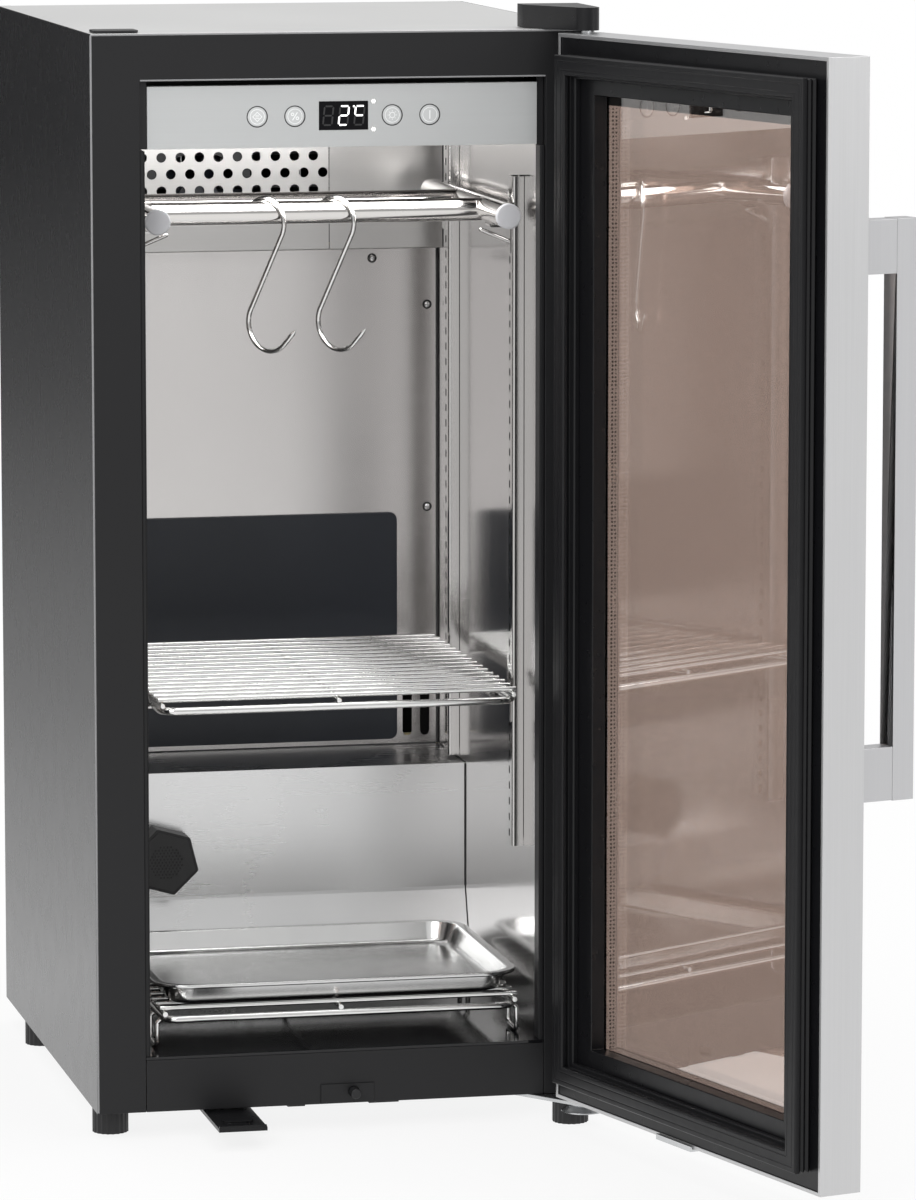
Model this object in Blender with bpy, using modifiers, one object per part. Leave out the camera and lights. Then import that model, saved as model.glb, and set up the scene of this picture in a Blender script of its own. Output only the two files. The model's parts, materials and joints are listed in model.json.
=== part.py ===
"""Dry aging cabinet: a narrow glass-door refrigerator with a hanging frame, a wire shelf, a bottom rack
and a drip tray, a foot pedal that pushes the door open, and its cooling circuit.

Cabinet coordinates, used by every function below: X runs right from the left side, Y runs back from
the front face and Z runs up from the underside of the body. The datum empty moves them to the middle
of the floor area. The door is modelled shut about its hinge axis and its empty turns it open.
"""

import math

import bmesh
import bpy
from mathutils import Matrix, Vector

# Body
BODY_WIDTH = 0.395
BODY_HEIGHT = 0.838
BODY_DEPTH = 0.475
SKIN = 0.0008
LINER = 0.0006
GAP = 0.0003
OVERRUN = 0.002
WELD = 0.0004
MERGE = 0.00001
SMOOTH_ANGLE = math.radians(40)

# Front frame and plinth
FRAME_BORDER = 0.0385
FRAME_TOP = 0.036
FRAME_RETURN = 0.022
FRAME_SHEET = 0.001
PLINTH_HEIGHT = 0.041
SIDE_FLANGE = 0.012

# Cavity
REAR_WALL = 0.083
STEP_DEPTH = 0.106
STEP_TOP = 0.219
FLOOR_SHEET = 0.002
EVAPORATOR_COVER_DEPTH = 0.026
EVAPORATOR_COVER_HEIGHT = 0.163
EVAPORATOR_POCKET = 0.041
DUCT_DEPTH = 0.017
BAY_WALL = 0.035
DUCT_MARGIN = 0.016

# Evaporator cover perforations
HOLE_RADIUS = 0.0041
HOLE_PITCH = 0.0159
HOLE_ROW_PITCH = 0.0138
HOLE_ROWS = 4
HOLE_COLUMNS = 13
HOLE_SIDE_MARGIN = 0.0165
HOLE_RISE = 0.0369

# Air return slots and the dark duct panel
SLOT_WIDTH = 0.008
SLOT_LENGTH = 0.074
SLOT_BOTTOM = 0.226
SLOT_MARGINS = (0.0265, 0.0115)
DUCT_PANEL_MARGIN = 0.0355
DUCT_PANEL_BOTTOM = 0.224
DUCT_PANEL_TOP = 0.416
DUCT_PANEL_RADIUS = 0.006
DUCT_PANEL_THICK = 0.0025

# Shelf rails and their clips
RAIL_WIDTH = 0.020
RAIL_DEPTH = 0.009
RAIL_SHEET = 0.001
RAIL_TOP_GAP = 0.012
RAIL_FRONT_Y = 0.073
RAIL_FROM_REAR = 0.084
RAIL_FRONT_BOTTOM = 0.186
RAIL_REAR_BOTTOM = 0.222
RAIL_SLOT_PITCH = 0.0254
RAIL_SLOT_WIDTH = 0.004
RAIL_SLOT_HEIGHT = 0.006
CLIP_WIDTH = 0.015
CLIP_SHEET = 0.0015
CLIP_REACH = 0.018
CLIP_HEIGHT = 0.022

# Wire shelf, bottom rack and tray
WIRE_SIDE_GAP = 0.019
FRAME_WIRE_RADIUS = 0.003
THIN_WIRE_RADIUS = 0.002
WIRE_PITCH = 0.020
WIRE_CORNER = 0.012
WIRE_FRONT_INSET = 0.006
SHELF_Z = 0.311
SHELF_FRONT_Y = 0.025
SHELF_REAR_GAP = 0.050
RACK_Z = 0.068
RACK_FRONT_Y = 0.022
RACK_REAR_GAP = 0.026
LEG_OUT = 0.0045
LEG_LENGTH = 0.030
TRAY_SIDE_GAP = 0.0142
TRAY_FRONT_Y = 0.020
TRAY_REAR_GAP = 0.035
TRAY_HEIGHT = 0.0165
TRAY_RIM = 0.007
TRAY_DRAFT = 0.006
TRAY_LIP = 0.003
TRAY_RADIUS = 0.030
TRAY_SHEET = 0.0008

# Hanging frame and its hooks
TUBE_RADIUS = 0.0095
CROSS_RADIUS = 0.0092
CAP_RADIUS = 0.0100
CAP_LENGTH = 0.002
TUBE_SIDE_GAP = 0.0203
TUBE_DROP = 0.1115
TUBE_FRONT_Y = 0.040
TUBE_REAR_GAP = 0.070
CROSS_FRONT_Y = 0.118
CROSS_REAR_Y = 0.209
HOOK_WIRE_RADIUS = 0.002
HOOK_UPPER_RADIUS = 0.0195
HOOK_LOWER_RADIUS = 0.022
HOOK_DROP = 0.079
HOOK_SHIFT = 0.004
HOOK_TIP = 0.017
HOOK_OFFSETS = (-0.0395, 0.0165)
HOOK_TURN = math.radians(-52)
HOOK_POINT_ANGLE = math.radians(-45)
HOOK_BEND_STEPS = 12

# Charcoal filter
FILTER_SIDE_GAP = 0.0625
FILTER_Z = 0.149
FILTER_SIDE = 0.0286
FILTER_DEPTH = 0.023
FILTER_TILT = math.radians(-16)
FILTER_GRILLE_RADIUS = 0.0135
FILTER_HOLE_RADIUS = 0.0010
FILTER_HOLE_PITCH = 0.0044
FILTER_HOLE_DEPTH = 0.004
SPIGOT_RADIUS = 0.015
SPIGOT_LENGTH = 0.012

# Control panel
FASCIA_SIDE_GAP = 0.0062
FASCIA_SHIFT = 0.0005
FASCIA_TOP_GAP = 0.005
FASCIA_HEIGHT = 0.048
FASCIA_Y = 0.006
FASCIA_SHEET = 0.0012
FASCIA_RETURN = 0.014
HOUSING_DEPTH = 0.050
HOUSING_WALL = 0.002
BUTTON_OFFSETS = (-0.0668, -0.0374, 0.0389, 0.0685)
BUTTON_RISE = 0.024
BUTTON_RADIUS = 0.0075
BUTTON_PROUD = 0.0004
BUTTON_FLANGE = 0.0012
BUTTON_FLANGE_THICK = 0.0012
BUTTON_LENGTH = 0.0065
BUTTON_TRAVEL = 0.0012
SWITCH_SIDE = 0.006
DISPLAY_LEFT = 0.0182
DISPLAY_RIGHT = 0.0197
DISPLAY_RISE = 0.0133
DISPLAY_HEIGHT = 0.0215
LAMP_OFFSET = 0.0242
LAMP_RADIUS = 0.0016
BOARD_Y = 0.0165
BOARD_THICK = 0.0016
BOARD_MARGIN = 0.012
POST_RADIUS = 0.0025

# Hinges
AXIS_FROM_SIDE = 0.014
AXIS_FROM_FACE = 0.031
PIN_RADIUS = 0.004
PIN_REACH = 0.020
PIN_HEAD_RADIUS = 0.006
PIN_HEAD = 0.0015
HINGE_PLATE = 0.003
HINGE_WIDTH = 0.052
HINGE_BACK_Y = 0.040
HINGE_SIDE_MARGIN = 0.004
HINGE_NOSE = 0.010
COVER_HEIGHT = 0.018
COVER_WALL = 0.002
BRACKET_WIDTH = 0.063
HOLE_COVER_WIDTH = 0.035
HOLE_COVER_DEPTH = 0.025
HOLE_COVER_THICK = 0.002
HOLE_COVER_MARGIN = 0.004

# Door, shut, about its hinge axis
DOOR_BOTTOM = 0.002
DOOR_TOP_GAP = 0.002
DOOR_THICK = 0.035
DOOR_GAP = 0.014
DOOR_OPEN = math.radians(106)
DOOR_SKIN = 0.0008
DOOR_LIP = 0.003
WINDOW_BORDER = 0.046
WINDOW_RETURN = 0.004
GLASS_BORDER_SIDE = 0.054
GLASS_BORDER_TOP = 0.045
GLASS_BORDER_BOTTOM = 0.047
INNER_FRAME_THICK = 0.012
PANE = 0.004
PANE_LAP = 0.012
SPACER_WIDTH = 0.006
BOSS_WIDTH = 0.024
BOSS_HEIGHT = 0.026
GASKET_INSET = 0.0155
GASKET_WIDTH = 0.018
GASKET_CLEARANCE = 0.0015
GASKET_NECK_SHARE = 0.28
GASKET_FLANGE = 0.003
GASKET_HEAD = 0.005

# Handle
HANDLE_SIDE = 0.018
HANDLE_LENGTH = 0.428
HANDLE_TOP_DROP = 0.119
HANDLE_INSET = 0.015
HANDLE_STANDOFF = 0.052
HANDLE_ARM_HEIGHT = 0.040

# Foot pedal, push pin and the strike plate that it pushes
PEDAL_X = 0.1037
PEDAL_WIDTH = 0.038
PEDAL_FRONT = 0.062
PEDAL_BACK = 0.050
PEDAL_DROP = 0.002
PEDAL_THICK = 0.003
PEDAL_LIP = 0.0015
PEDAL_DIMPLE_HALF = 0.012
PEDAL_DIMPLE_RADIUS = 0.007
PEDAL_DIMPLE_HEIGHT = 0.0015
PEDAL_DIMPLE_SETBACK = 0.024
PIVOT_RADIUS = 0.0025
LUG_THICK = 0.003
LUG_REACH = 0.005
PUSH_PIN_OFFSET = 0.0055
PUSH_PIN_Z = 0.0094
PUSH_PIN_RADIUS = 0.004
PUSH_PIN_TIP = 0.0124
PUSH_PIN_TAIL = 0.060
ACCESS_LEFT = 0.026
ACCESS_RIGHT = 0.0164
ACCESS_TOP = 0.0157
ACCESS_SHEET = 0.001
STRIKE_PAST_PIN = 0.032
STRIKE_LENGTH = 0.052
STRIKE_SHEET = 0.002
STRIKE_TAB = 0.0045
STRIKE_DEPTH = 0.028

# Feet
FOOT_RADIUS = 0.01435
FOOT_HEIGHT = 0.020
FOOT_RIBS = 20
FOOT_RIB_DEPTH = 0.0009
FOOT_STUD_RADIUS = 0.004
FOOT_STUD = 0.010
FOOT_SIDE_X = 0.015
FOOT_FRONT_Y = 0.030
FOOT_FROM_REAR = 0.100
HINGE_FOOT_FROM_SIDE = 0.020
HINGE_FOOT_Y = -0.012

# Cooling circuit
COMPRESSOR_X = 0.115
COMPRESSOR_FROM_REAR = 0.077
COMPRESSOR_RADIUS = 0.055
COMPRESSOR_TOP = 0.140
COMPRESSOR_FOOT = 0.010
COMPRESSOR_PLATE = 0.002
COIL_TUBE_RADIUS = 0.004
LINE_RADIUS = 0.003
FIN_SHEET = 0.0008
CONDENSER_LEFT = 0.225
CONDENSER_FROM_SIDE = 0.030
CONDENSER_FROM_REAR = 0.1445
CONDENSER_DEPTH = 0.032
CONDENSER_HEIGHT = 0.150
CONDENSER_PASSES = 5
COOLER_LEFT = 0.060
COOLER_FROM_SIDE = 0.073
COOLER_GAP = 0.0065
COOLER_RISE = 0.011
COOLER_DEPTH = 0.030
COOLER_HEIGHT = 0.110
COOLER_PASSES = 4
FIN_COUNT = 6
CONDENSER_FAN_MARGIN = 0.015
COOLER_FAN_SIDE = 0.085
FAN_DEPTH = 0.020
FAN_WALL = 0.003
FAN_HUB_SHARE = 0.20
FAN_BLADES = 5
FAN_SHEET = 0.0015
BLADE_PITCH = math.radians(30)
PAN_HEIGHT = 0.020
PAN_WIDTH = 0.110
PAN_LENGTH = 0.100
PAN_WALL = 0.0015
GRILLE_SLOTS = 9
GRILLE_SLOT_HEIGHT = 0.006
GRILLE_MARGIN = 0.030
GLAND_RADIUS = 0.009
GLAND_NECK = 0.006
GLAND_BORE = 0.003
GLAND_FROM_SIDE = 0.037
GLAND_Z = 0.150
GLAND_FLANGE = 0.0025
GLAND_LENGTH = 0.012

# Places that follow from the sizes above
MID_X = BODY_WIDTH / 2
OPENING_LOW_X = FRAME_BORDER
OPENING_HIGH_X = BODY_WIDTH - FRAME_BORDER
OPENING_TOP = BODY_HEIGHT - FRAME_TOP
OPENING_HALF = MID_X - FRAME_BORDER
CAVITY_DEPTH = BODY_DEPTH - REAR_WALL
STEP_FRONT = CAVITY_DEPTH - STEP_DEPTH
EVAPORATOR_FACE = CAVITY_DEPTH - EVAPORATOR_COVER_DEPTH
EVAPORATOR_SILL = OPENING_TOP - EVAPORATOR_COVER_HEIGHT
HOLE_FIRST_X = OPENING_LOW_X + HOLE_SIDE_MARGIN
HOLE_FIRST_Z = EVAPORATOR_SILL + HOLE_RISE
SLOT_OFFSETS = [OPENING_HALF - margin for margin in SLOT_MARGINS]
DUCT_PANEL_HALF = OPENING_HALF - DUCT_PANEL_MARGIN
RAIL_TOP = OPENING_TOP - RAIL_TOP_GAP
RAIL_REAR_Y = CAVITY_DEPTH - RAIL_FROM_REAR
WIRE_HALF_WIDTH = OPENING_HALF - WIRE_SIDE_GAP
TRAY_HALF_WIDTH = OPENING_HALF - TRAY_SIDE_GAP
TRAY_LENGTH = STEP_FRONT - TRAY_REAR_GAP - TRAY_FRONT_Y
TUBE_HALF_SPACING = OPENING_HALF - TUBE_SIDE_GAP
TUBE_Z = OPENING_TOP - TUBE_DROP
TUBE_REAR_Y = CAVITY_DEPTH - TUBE_REAR_GAP
HOOK_X = [MID_X + offset for offset in HOOK_OFFSETS]
FILTER_X = OPENING_LOW_X + FILTER_SIDE_GAP
FASCIA_HALF_WIDTH = OPENING_HALF - FASCIA_SIDE_GAP
FASCIA_MID_X = MID_X + FASCIA_SHIFT
FASCIA_TOP = OPENING_TOP - FASCIA_TOP_GAP
FASCIA_BOTTOM = FASCIA_TOP - FASCIA_HEIGHT
BUTTON_X = [MID_X + offset for offset in BUTTON_OFFSETS]
BUTTON_Z = FASCIA_BOTTOM + BUTTON_RISE
DISPLAY_LOW_X = MID_X - DISPLAY_LEFT
DISPLAY_HIGH_X = MID_X + DISPLAY_RIGHT
DISPLAY_LOW_Z = FASCIA_BOTTOM + DISPLAY_RISE
DISPLAY_HIGH_Z = DISPLAY_LOW_Z + DISPLAY_HEIGHT
LAMP_X = MID_X + LAMP_OFFSET
HINGE_INNER_X = BODY_WIDTH - HINGE_WIDTH
BRACKET_INNER_X = BODY_WIDTH - BRACKET_WIDTH
PUSH_PIN_X = MID_X + PUSH_PIN_OFFSET
ACCESS_LOW_X = PUSH_PIN_X - ACCESS_LEFT
ACCESS_HIGH_X = PUSH_PIN_X + ACCESS_RIGHT
GLAND_X = BODY_WIDTH - GLAND_FROM_SIDE
COMPRESSOR_Y = BODY_DEPTH - COMPRESSOR_FROM_REAR
CONDENSER_LOW = (CONDENSER_LEFT, BODY_DEPTH - CONDENSER_FROM_REAR, SKIN + GAP)
CONDENSER_WIDTH = BODY_WIDTH - CONDENSER_FROM_SIDE - CONDENSER_LEFT
CONDENSER_SIZE = (CONDENSER_WIDTH, CONDENSER_DEPTH, CONDENSER_HEIGHT)
CONDENSER_FAN_SIDE = CONDENSER_WIDTH - CONDENSER_FAN_MARGIN * 2
COOLER_LOW = (COOLER_LEFT, CAVITY_DEPTH + COOLER_GAP, EVAPORATOR_SILL + COOLER_RISE)
COOLER_SIZE = (BODY_WIDTH - COOLER_FROM_SIDE - COOLER_LEFT, COOLER_DEPTH, COOLER_HEIGHT)
LINER_FRONT = FRAME_RETURN + GAP
FLOOR_TOP = PLINTH_HEIGHT + GAP + FLOOR_SHEET
AXIS_X = BODY_WIDTH - AXIS_FROM_SIDE
DOOR_INNER = AXIS_FROM_FACE - DOOR_GAP
DOOR_OUTER = DOOR_INNER - DOOR_THICK
DOOR_FREE_X = AXIS_FROM_SIDE - BODY_WIDTH
DOOR_TOP = BODY_HEIGHT - DOOR_TOP_GAP
REAR_INNER = BODY_DEPTH - SKIN - GAP - SKIN
BAY_FRONT = STEP_FRONT + LINER + BAY_WALL
BAY_TOP = STEP_TOP - BAY_WALL
FOAM_FRONT = LINER_FRONT + GAP
FASCIA_LOW_X = FASCIA_MID_X - FASCIA_HALF_WIDTH
FASCIA_HIGH_X = FASCIA_MID_X + FASCIA_HALF_WIDTH
SHELF_ROOM = CAVITY_DEPTH - SHELF_REAR_GAP - SHELF_FRONT_Y - WIRE_FRONT_INSET * 2
SHELF_WIRES = int(SHELF_ROOM / WIRE_PITCH) + 1
RACK_ROOM = STEP_FRONT - RACK_REAR_GAP - RACK_FRONT_Y - WIRE_FRONT_INSET * 2
RACK_WIRES = int(RACK_ROOM / WIRE_PITCH) + 1
SHELF_REAR_Y = SHELF_FRONT_Y + WIRE_FRONT_INSET * 2 + WIRE_PITCH * (SHELF_WIRES - 1)
RACK_REAR_Y = RACK_FRONT_Y + WIRE_FRONT_INSET * 2 + WIRE_PITCH * (RACK_WIRES - 1)
WIRE_RISE = FRAME_WIRE_RADIUS + THIN_WIRE_RADIUS * 4 - WELD * 2
PEDAL_PIVOT = Vector((PEDAL_X, PEDAL_BACK, -PEDAL_DROP - PEDAL_THICK / 2))
FOOT_PLACES = {
    "foot_front_left": (FOOT_SIDE_X, FOOT_FRONT_Y),
    "foot_front_right": (BODY_WIDTH - HINGE_FOOT_FROM_SIDE, HINGE_FOOT_Y),
    "foot_rear_left": (FOOT_SIDE_X, BODY_DEPTH - FOOT_FROM_REAR),
    "foot_rear_right": (BODY_WIDTH - FOOT_SIDE_X, BODY_DEPTH - FOOT_FROM_REAR),
}

# Counts of flat sides on round pieces
ROUND = 24
TUBE_ROUND = 16
SMALL_ROUND = 12
WIRE_ROUND = 8
THIN_WIRE_ROUND = 6


def door_reach():
    """Furthest X and nearest Y that the open door and its handle reach, from the cabinet's datum corner."""
    turn = Matrix.Rotation(DOOR_OPEN, 2)
    handle_x = DOOR_FREE_X + HANDLE_INSET
    corners = [
        (DOOR_FREE_X, DOOR_INNER),
        (DOOR_FREE_X, DOOR_OUTER),
        (handle_x, DOOR_OUTER - HANDLE_STANDOFF),
        (handle_x + HANDLE_SIDE, DOOR_OUTER - HANDLE_STANDOFF),
    ]
    turned_corners = [turn @ Vector(corner) for corner in corners]
    reach_x = AXIS_X + max(corner.x for corner in turned_corners)
    reach_y = -AXIS_FROM_FACE + min(corner.y for corner in turned_corners)
    return reach_x, reach_y


REACH_X, REACH_Y = door_reach()
ORIGIN_X = REACH_X / 2
ORIGIN_Y = (REACH_Y + BODY_DEPTH + GLAND_FLANGE) / 2


# Scene helpers


def clear_scene():
    for obj in list(bpy.data.objects):
        bpy.data.objects.remove(obj, do_unlink=True)


def new_collection(name):
    group = bpy.data.collections.new(name)
    bpy.context.scene.collection.children.link(group)
    return group


def new_empty(name, place, parent=None):
    empty = bpy.data.objects.new(name, None)
    PARTS.objects.link(empty)
    empty.location = place
    empty.parent = parent
    empty.empty_display_size = PIN_REACH
    return empty


def new_material(name, colour, roughness, metallic=0.0, alpha=1.0):
    made = bpy.data.materials.new(name)
    made.use_nodes = True
    shader = made.node_tree.nodes["Principled BSDF"]
    shader.inputs["Base Color"].default_value = (*colour, 1.0)
    shader.inputs["Roughness"].default_value = roughness
    shader.inputs["Metallic"].default_value = metallic
    shader.inputs["Alpha"].default_value = alpha
    return made


def add_piece(name, mesh, finish, pivot=(0, 0, 0), parent=None, smooth=False):
    """A named piece whose mesh is given in its parent's coordinates and whose origin lies at pivot."""
    mesh.transform(Matrix.Translation(-Vector(pivot)))
    piece = bpy.data.objects.new(name, mesh)
    PARTS.objects.link(piece)
    piece.parent = parent or DATUM
    piece.location = pivot
    mesh.materials.append(finish)
    if smooth:
        mesh.shade_smooth()
        mesh.set_sharp_from_angle(angle=SMOOTH_ANGLE)
    return piece


def add_tool(piece, mesh, operation, own_overlaps=False):
    """Cuts or joins a piece with a second mesh that is given in the same coordinates as the piece's."""
    mesh.transform(Matrix.Translation(-piece.location))
    tool = bpy.data.objects.new(f"{piece.name}_{operation.lower()}", mesh)
    TOOLS.objects.link(tool)
    tool.parent = piece.parent
    tool.location = piece.location
    tool.hide_render = True
    tool.display_type = "WIRE"
    modifier = piece.modifiers.new(operation.title(), "BOOLEAN")
    modifier.operation = operation
    modifier.solver = "EXACT"
    modifier.use_self = own_overlaps
    modifier.object = tool
    return piece


def mesh_of(bm, name):
    bmesh.ops.recalc_face_normals(bm, faces=bm.faces)
    mesh = bpy.data.meshes.new(name)
    bm.to_mesh(mesh)
    bm.free()
    return mesh


def shapes_mesh(name, shapes):
    """One mesh of several closed shapes, each drawn by a function that takes the bmesh."""
    bm = bmesh.new()
    for shape in shapes:
        shape(bm)
    return mesh_of(bm, name)


def fused(name, shapes, finish, **where):
    """Overlapping closed shapes joined into one body."""
    piece = add_piece(name, shapes_mesh(name, shapes[:1]), finish, **where)
    return add_tool(piece, shapes_mesh(f"{name}_rest", shapes[1:]), "UNION", own_overlaps=True)


# Shapes


def box(low, high):
    """A block between two corners."""

    def draw(bm):
        size = Vector(high) - Vector(low)
        middle = (Vector(high) + Vector(low)) / 2
        matrix = Matrix.Translation(middle) @ Matrix.Diagonal((*size, 1))
        bmesh.ops.create_cube(bm, size=1, matrix=matrix)

    return draw


def rod(start, end, radius, sides=SMALL_ROUND, end_radius=None):
    """A round bar between two points, with a second radius for a tapered one."""

    def draw(bm):
        start_point = Vector(start)
        along = Vector(end) - start_point
        turn = along.to_track_quat("Z", "Y").to_matrix().to_4x4()
        matrix = Matrix.Translation(start_point + along / 2) @ turn
        bmesh.ops.create_cone(
            bm,
            cap_ends=True,
            segments=sides,
            radius1=radius,
            radius2=radius if end_radius is None else end_radius,
            depth=along.length,
            matrix=matrix,
        )

    return draw


def tube_mesh(points, radius, closed=False, detail=2):
    """The mesh of a wire or tube that follows the points."""
    curve = bpy.data.curves.new("route", "CURVE")
    curve.dimensions = "3D"
    curve.bevel_depth = radius
    curve.bevel_resolution = detail
    curve.use_fill_caps = not closed
    spline = curve.splines.new("POLY")
    spline.points.add(len(points) - 1)
    for point, place in zip(spline.points, points):
        point.co = (*place, 1)
    spline.use_cyclic_u = closed
    return curve_mesh(curve)


def curve_mesh(curve):
    guide = bpy.data.objects.new("guide", curve)
    TOOLS.objects.link(guide)
    bpy.context.view_layer.update()
    evaluated = guide.evaluated_get(bpy.context.evaluated_depsgraph_get())
    mesh = bpy.data.meshes.new_from_object(evaluated)
    bpy.data.objects.remove(guide, do_unlink=True)
    bm = bmesh.new()
    bm.from_mesh(mesh)
    bmesh.ops.remove_doubles(bm, verts=bm.verts, dist=MERGE)
    bmesh.ops.recalc_face_normals(bm, faces=bm.faces)
    bm.to_mesh(mesh)
    bm.free()
    return mesh


def tube(points, radius, closed=False, detail=2):
    """A wire or tube as a shape, for fused pieces."""

    def draw(bm):
        bm.from_mesh(tube_mesh(points, radius, closed, detail))

    return draw


PLANES = {
    "XY": Matrix(((1, 0, 0, 0), (0, 1, 0, 0), (0, 0, 1, 0), (0, 0, 0, 1))),
    "XZ": Matrix(((1, 0, 0, 0), (0, 0, 1, 0), (0, 1, 0, 0), (0, 0, 0, 1))),
    "YZ": Matrix(((0, 0, 1, 0), (1, 0, 0, 0), (0, 1, 0, 0), (0, 0, 0, 1))),
}


def plate_mesh(outline, plane, low, high, holes=()):
    """A flat outline with holes, in the named plane, filling the stretch from low to high across it."""
    curve = bpy.data.curves.new("outline", "CURVE")
    curve.dimensions = "2D"
    curve.fill_mode = "BOTH"
    curve.extrude = (high - low) / 2
    for loop in (outline, *holes):
        spline = curve.splines.new("POLY")
        spline.points.add(len(loop) - 1)
        for point, place in zip(spline.points, loop):
            point.co = (*place, 0, 1)
        spline.use_cyclic_u = True
    mesh = curve_mesh(curve)
    mesh.transform(PLANES[plane] @ Matrix.Translation((0, 0, (low + high) / 2)))
    bm = bmesh.new()
    bm.from_mesh(mesh)
    bmesh.ops.recalc_face_normals(bm, faces=bm.faces)
    bm.to_mesh(mesh)
    bm.free()
    return mesh


def plate(outline, plane, low, high, holes=()):
    """A flat outline as a shape, for fused pieces."""

    def draw(bm):
        bm.from_mesh(plate_mesh(outline, plane, low, high, holes))

    return draw


def rectangle(low_a, low_b, high_a, high_b):
    return [(low_a, low_b), (high_a, low_b), (high_a, high_b), (low_a, high_b)]


def arc(centre, radius, start, end, steps):
    """Points from one angle to another round a centre, both ends included."""
    angles = [start + (end - start) * step / steps for step in range(steps + 1)]
    return [(centre[0] + radius * math.cos(a), centre[1] + radius * math.sin(a)) for a in angles]


def circle(centre, radius, sides=SMALL_ROUND):
    return arc(centre, radius, 0, math.tau, sides)[:-1]


def rounded_rectangle(low_a, low_b, high_a, high_b, radius, steps=3):
    quarter = math.pi / 2
    corners = [
        ((high_a - radius, high_b - radius), 0),
        ((low_a + radius, high_b - radius), quarter),
        ((low_a + radius, low_b + radius), quarter * 2),
        ((high_a - radius, low_b + radius), quarter * 3),
    ]
    points = []
    for centre, start in corners:
        points += arc(centre, radius, start, start + quarter, steps)
    return points


def upright_slot(middle_a, low_b, high_b, width, steps=4):
    radius = width / 2
    upper = arc((middle_a, high_b - radius), radius, 0, math.pi, steps)
    lower = arc((middle_a, low_b + radius), radius, math.pi, math.tau, steps)
    return upper + lower


def folded_mesh(outline, plane, level, folds, window=0.0, window_fold=0.0):
    """An open sheet: a flat outline with flanges folded off chosen edges, square to it.

    folds maps the index of an edge to the signed depth of its flange. A window leaves a border of that
    width, with its own flange.
    """
    bm = bmesh.new()
    corners = [bm.verts.new((*place, 0)) for place in outline]
    face = bm.faces.new(corners)
    count = len(corners)
    edges = [bm.edges.get((corners[i], corners[(i + 1) % count])) for i in range(count)]
    for depth in sorted(set(folds.values())):
        chosen = [edges[i] for i in folds if folds[i] == depth]
        extrude_edges(bm, chosen, (0, 0, depth))
    if window:
        bm.normal_update()
        bmesh.ops.inset_individual(bm, faces=[face], thickness=window, use_even_offset=True)
        rim = list(face.edges)
        bmesh.ops.delete(bm, geom=[face], context="FACES_ONLY")
        extrude_edges(bm, rim, (0, 0, window_fold))
    bmesh.ops.recalc_face_normals(bm, faces=bm.faces)
    bm.transform(PLANES[plane] @ Matrix.Translation((0, 0, level)))
    mesh = bpy.data.meshes.new("sheet")
    bm.to_mesh(mesh)
    bm.free()
    return mesh


def extrude_edges(bm, edges, offset):
    made = bmesh.ops.extrude_edge_only(bm, edges=edges)["geom"]
    moved = [item for item in made if isinstance(item, bmesh.types.BMVert)]
    bmesh.ops.translate(bm, verts=moved, vec=offset)
    return moved


def thicken(piece, sheet, toward):
    """Gives an open sheet its thickness, on the side of its main face that toward points to."""
    modifier = piece.modifiers.new("Sheet", "SOLIDIFY")
    modifier.thickness = sheet
    modifier.use_even_offset = True
    main = max(piece.data.polygons, key=lambda face: abs(face.normal.dot(Vector(toward))) * face.area)
    modifier.offset = 1 if main.normal.dot(Vector(toward)) > 0 else -1
    return piece


def swept_ring_mesh(low, high, profile, plane):
    """A rectangular ring. The profile's points are (inset from the outer rectangle, height)."""
    bm = bmesh.new()
    corners = [
        (low[0], low[1], 1, 1),
        (high[0], low[1], -1, 1),
        (high[0], high[1], -1, -1),
        (low[0], high[1], 1, -1),
    ]
    loops = []
    for a, b, way_a, way_b in corners:
        verts = [bm.verts.new((a + way_a * inset, b + way_b * inset, height)) for inset, height in profile]
        loops.append([bm.edges.new((verts[i], verts[(i + 1) % len(verts)])) for i in range(len(verts))])
    for loop, following in zip(loops, loops[1:] + loops[:1]):
        bmesh.ops.bridge_loops(bm, edges=loop + following)
    bm.transform(PLANES[plane])
    return mesh_of(bm, "ring")


def turned(name, profile, finish, pivot=(0, 0, 0), turn=(0, 0, 0), parent=None, steps=ROUND):
    """A piece turned from a profile of (radius, height) points that runs down its outside."""
    bm = bmesh.new()
    verts = [bm.verts.new((radius, 0, height)) for radius, height in profile]
    for upper, lower in zip(verts, verts[1:]):
        bm.edges.new((upper, lower))
    mesh = bpy.data.meshes.new(name)
    bm.to_mesh(mesh)
    bm.free()
    piece = add_piece(name, mesh, finish, parent=parent)
    piece.location = pivot
    piece.rotation_euler = turn
    modifier = piece.modifiers.new("Turn", "SCREW")
    modifier.steps = steps
    modifier.render_steps = steps
    modifier.use_merge_vertices = True
    modifier.merge_threshold = MERGE
    modifier.use_smooth_shade = True
    return piece


# Outer shell


def side_panel(name, outer_x, inward):
    flange = SIDE_FLANGE * inward
    outline = rectangle(0, 0, BODY_DEPTH, BODY_HEIGHT)
    mesh = folded_mesh(outline, "YZ", outer_x, {1: flange})
    piece = add_piece(name, mesh, PAINT)
    return thicken(piece, SKIN, (inward, 0, 0))


def side_panels():
    side_panel("side_panel_left", 0, 1)
    side_panel("side_panel_right", BODY_WIDTH, -1)


def top_panel():
    edge = SKIN + GAP
    low = (edge, 0, BODY_HEIGHT - SKIN)
    high = (BODY_WIDTH - edge, BODY_DEPTH - SKIN - GAP, BODY_HEIGHT)
    add_piece("top_panel", shapes_mesh("top_panel", [box(low, high)]), TOP_STEEL)


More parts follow.
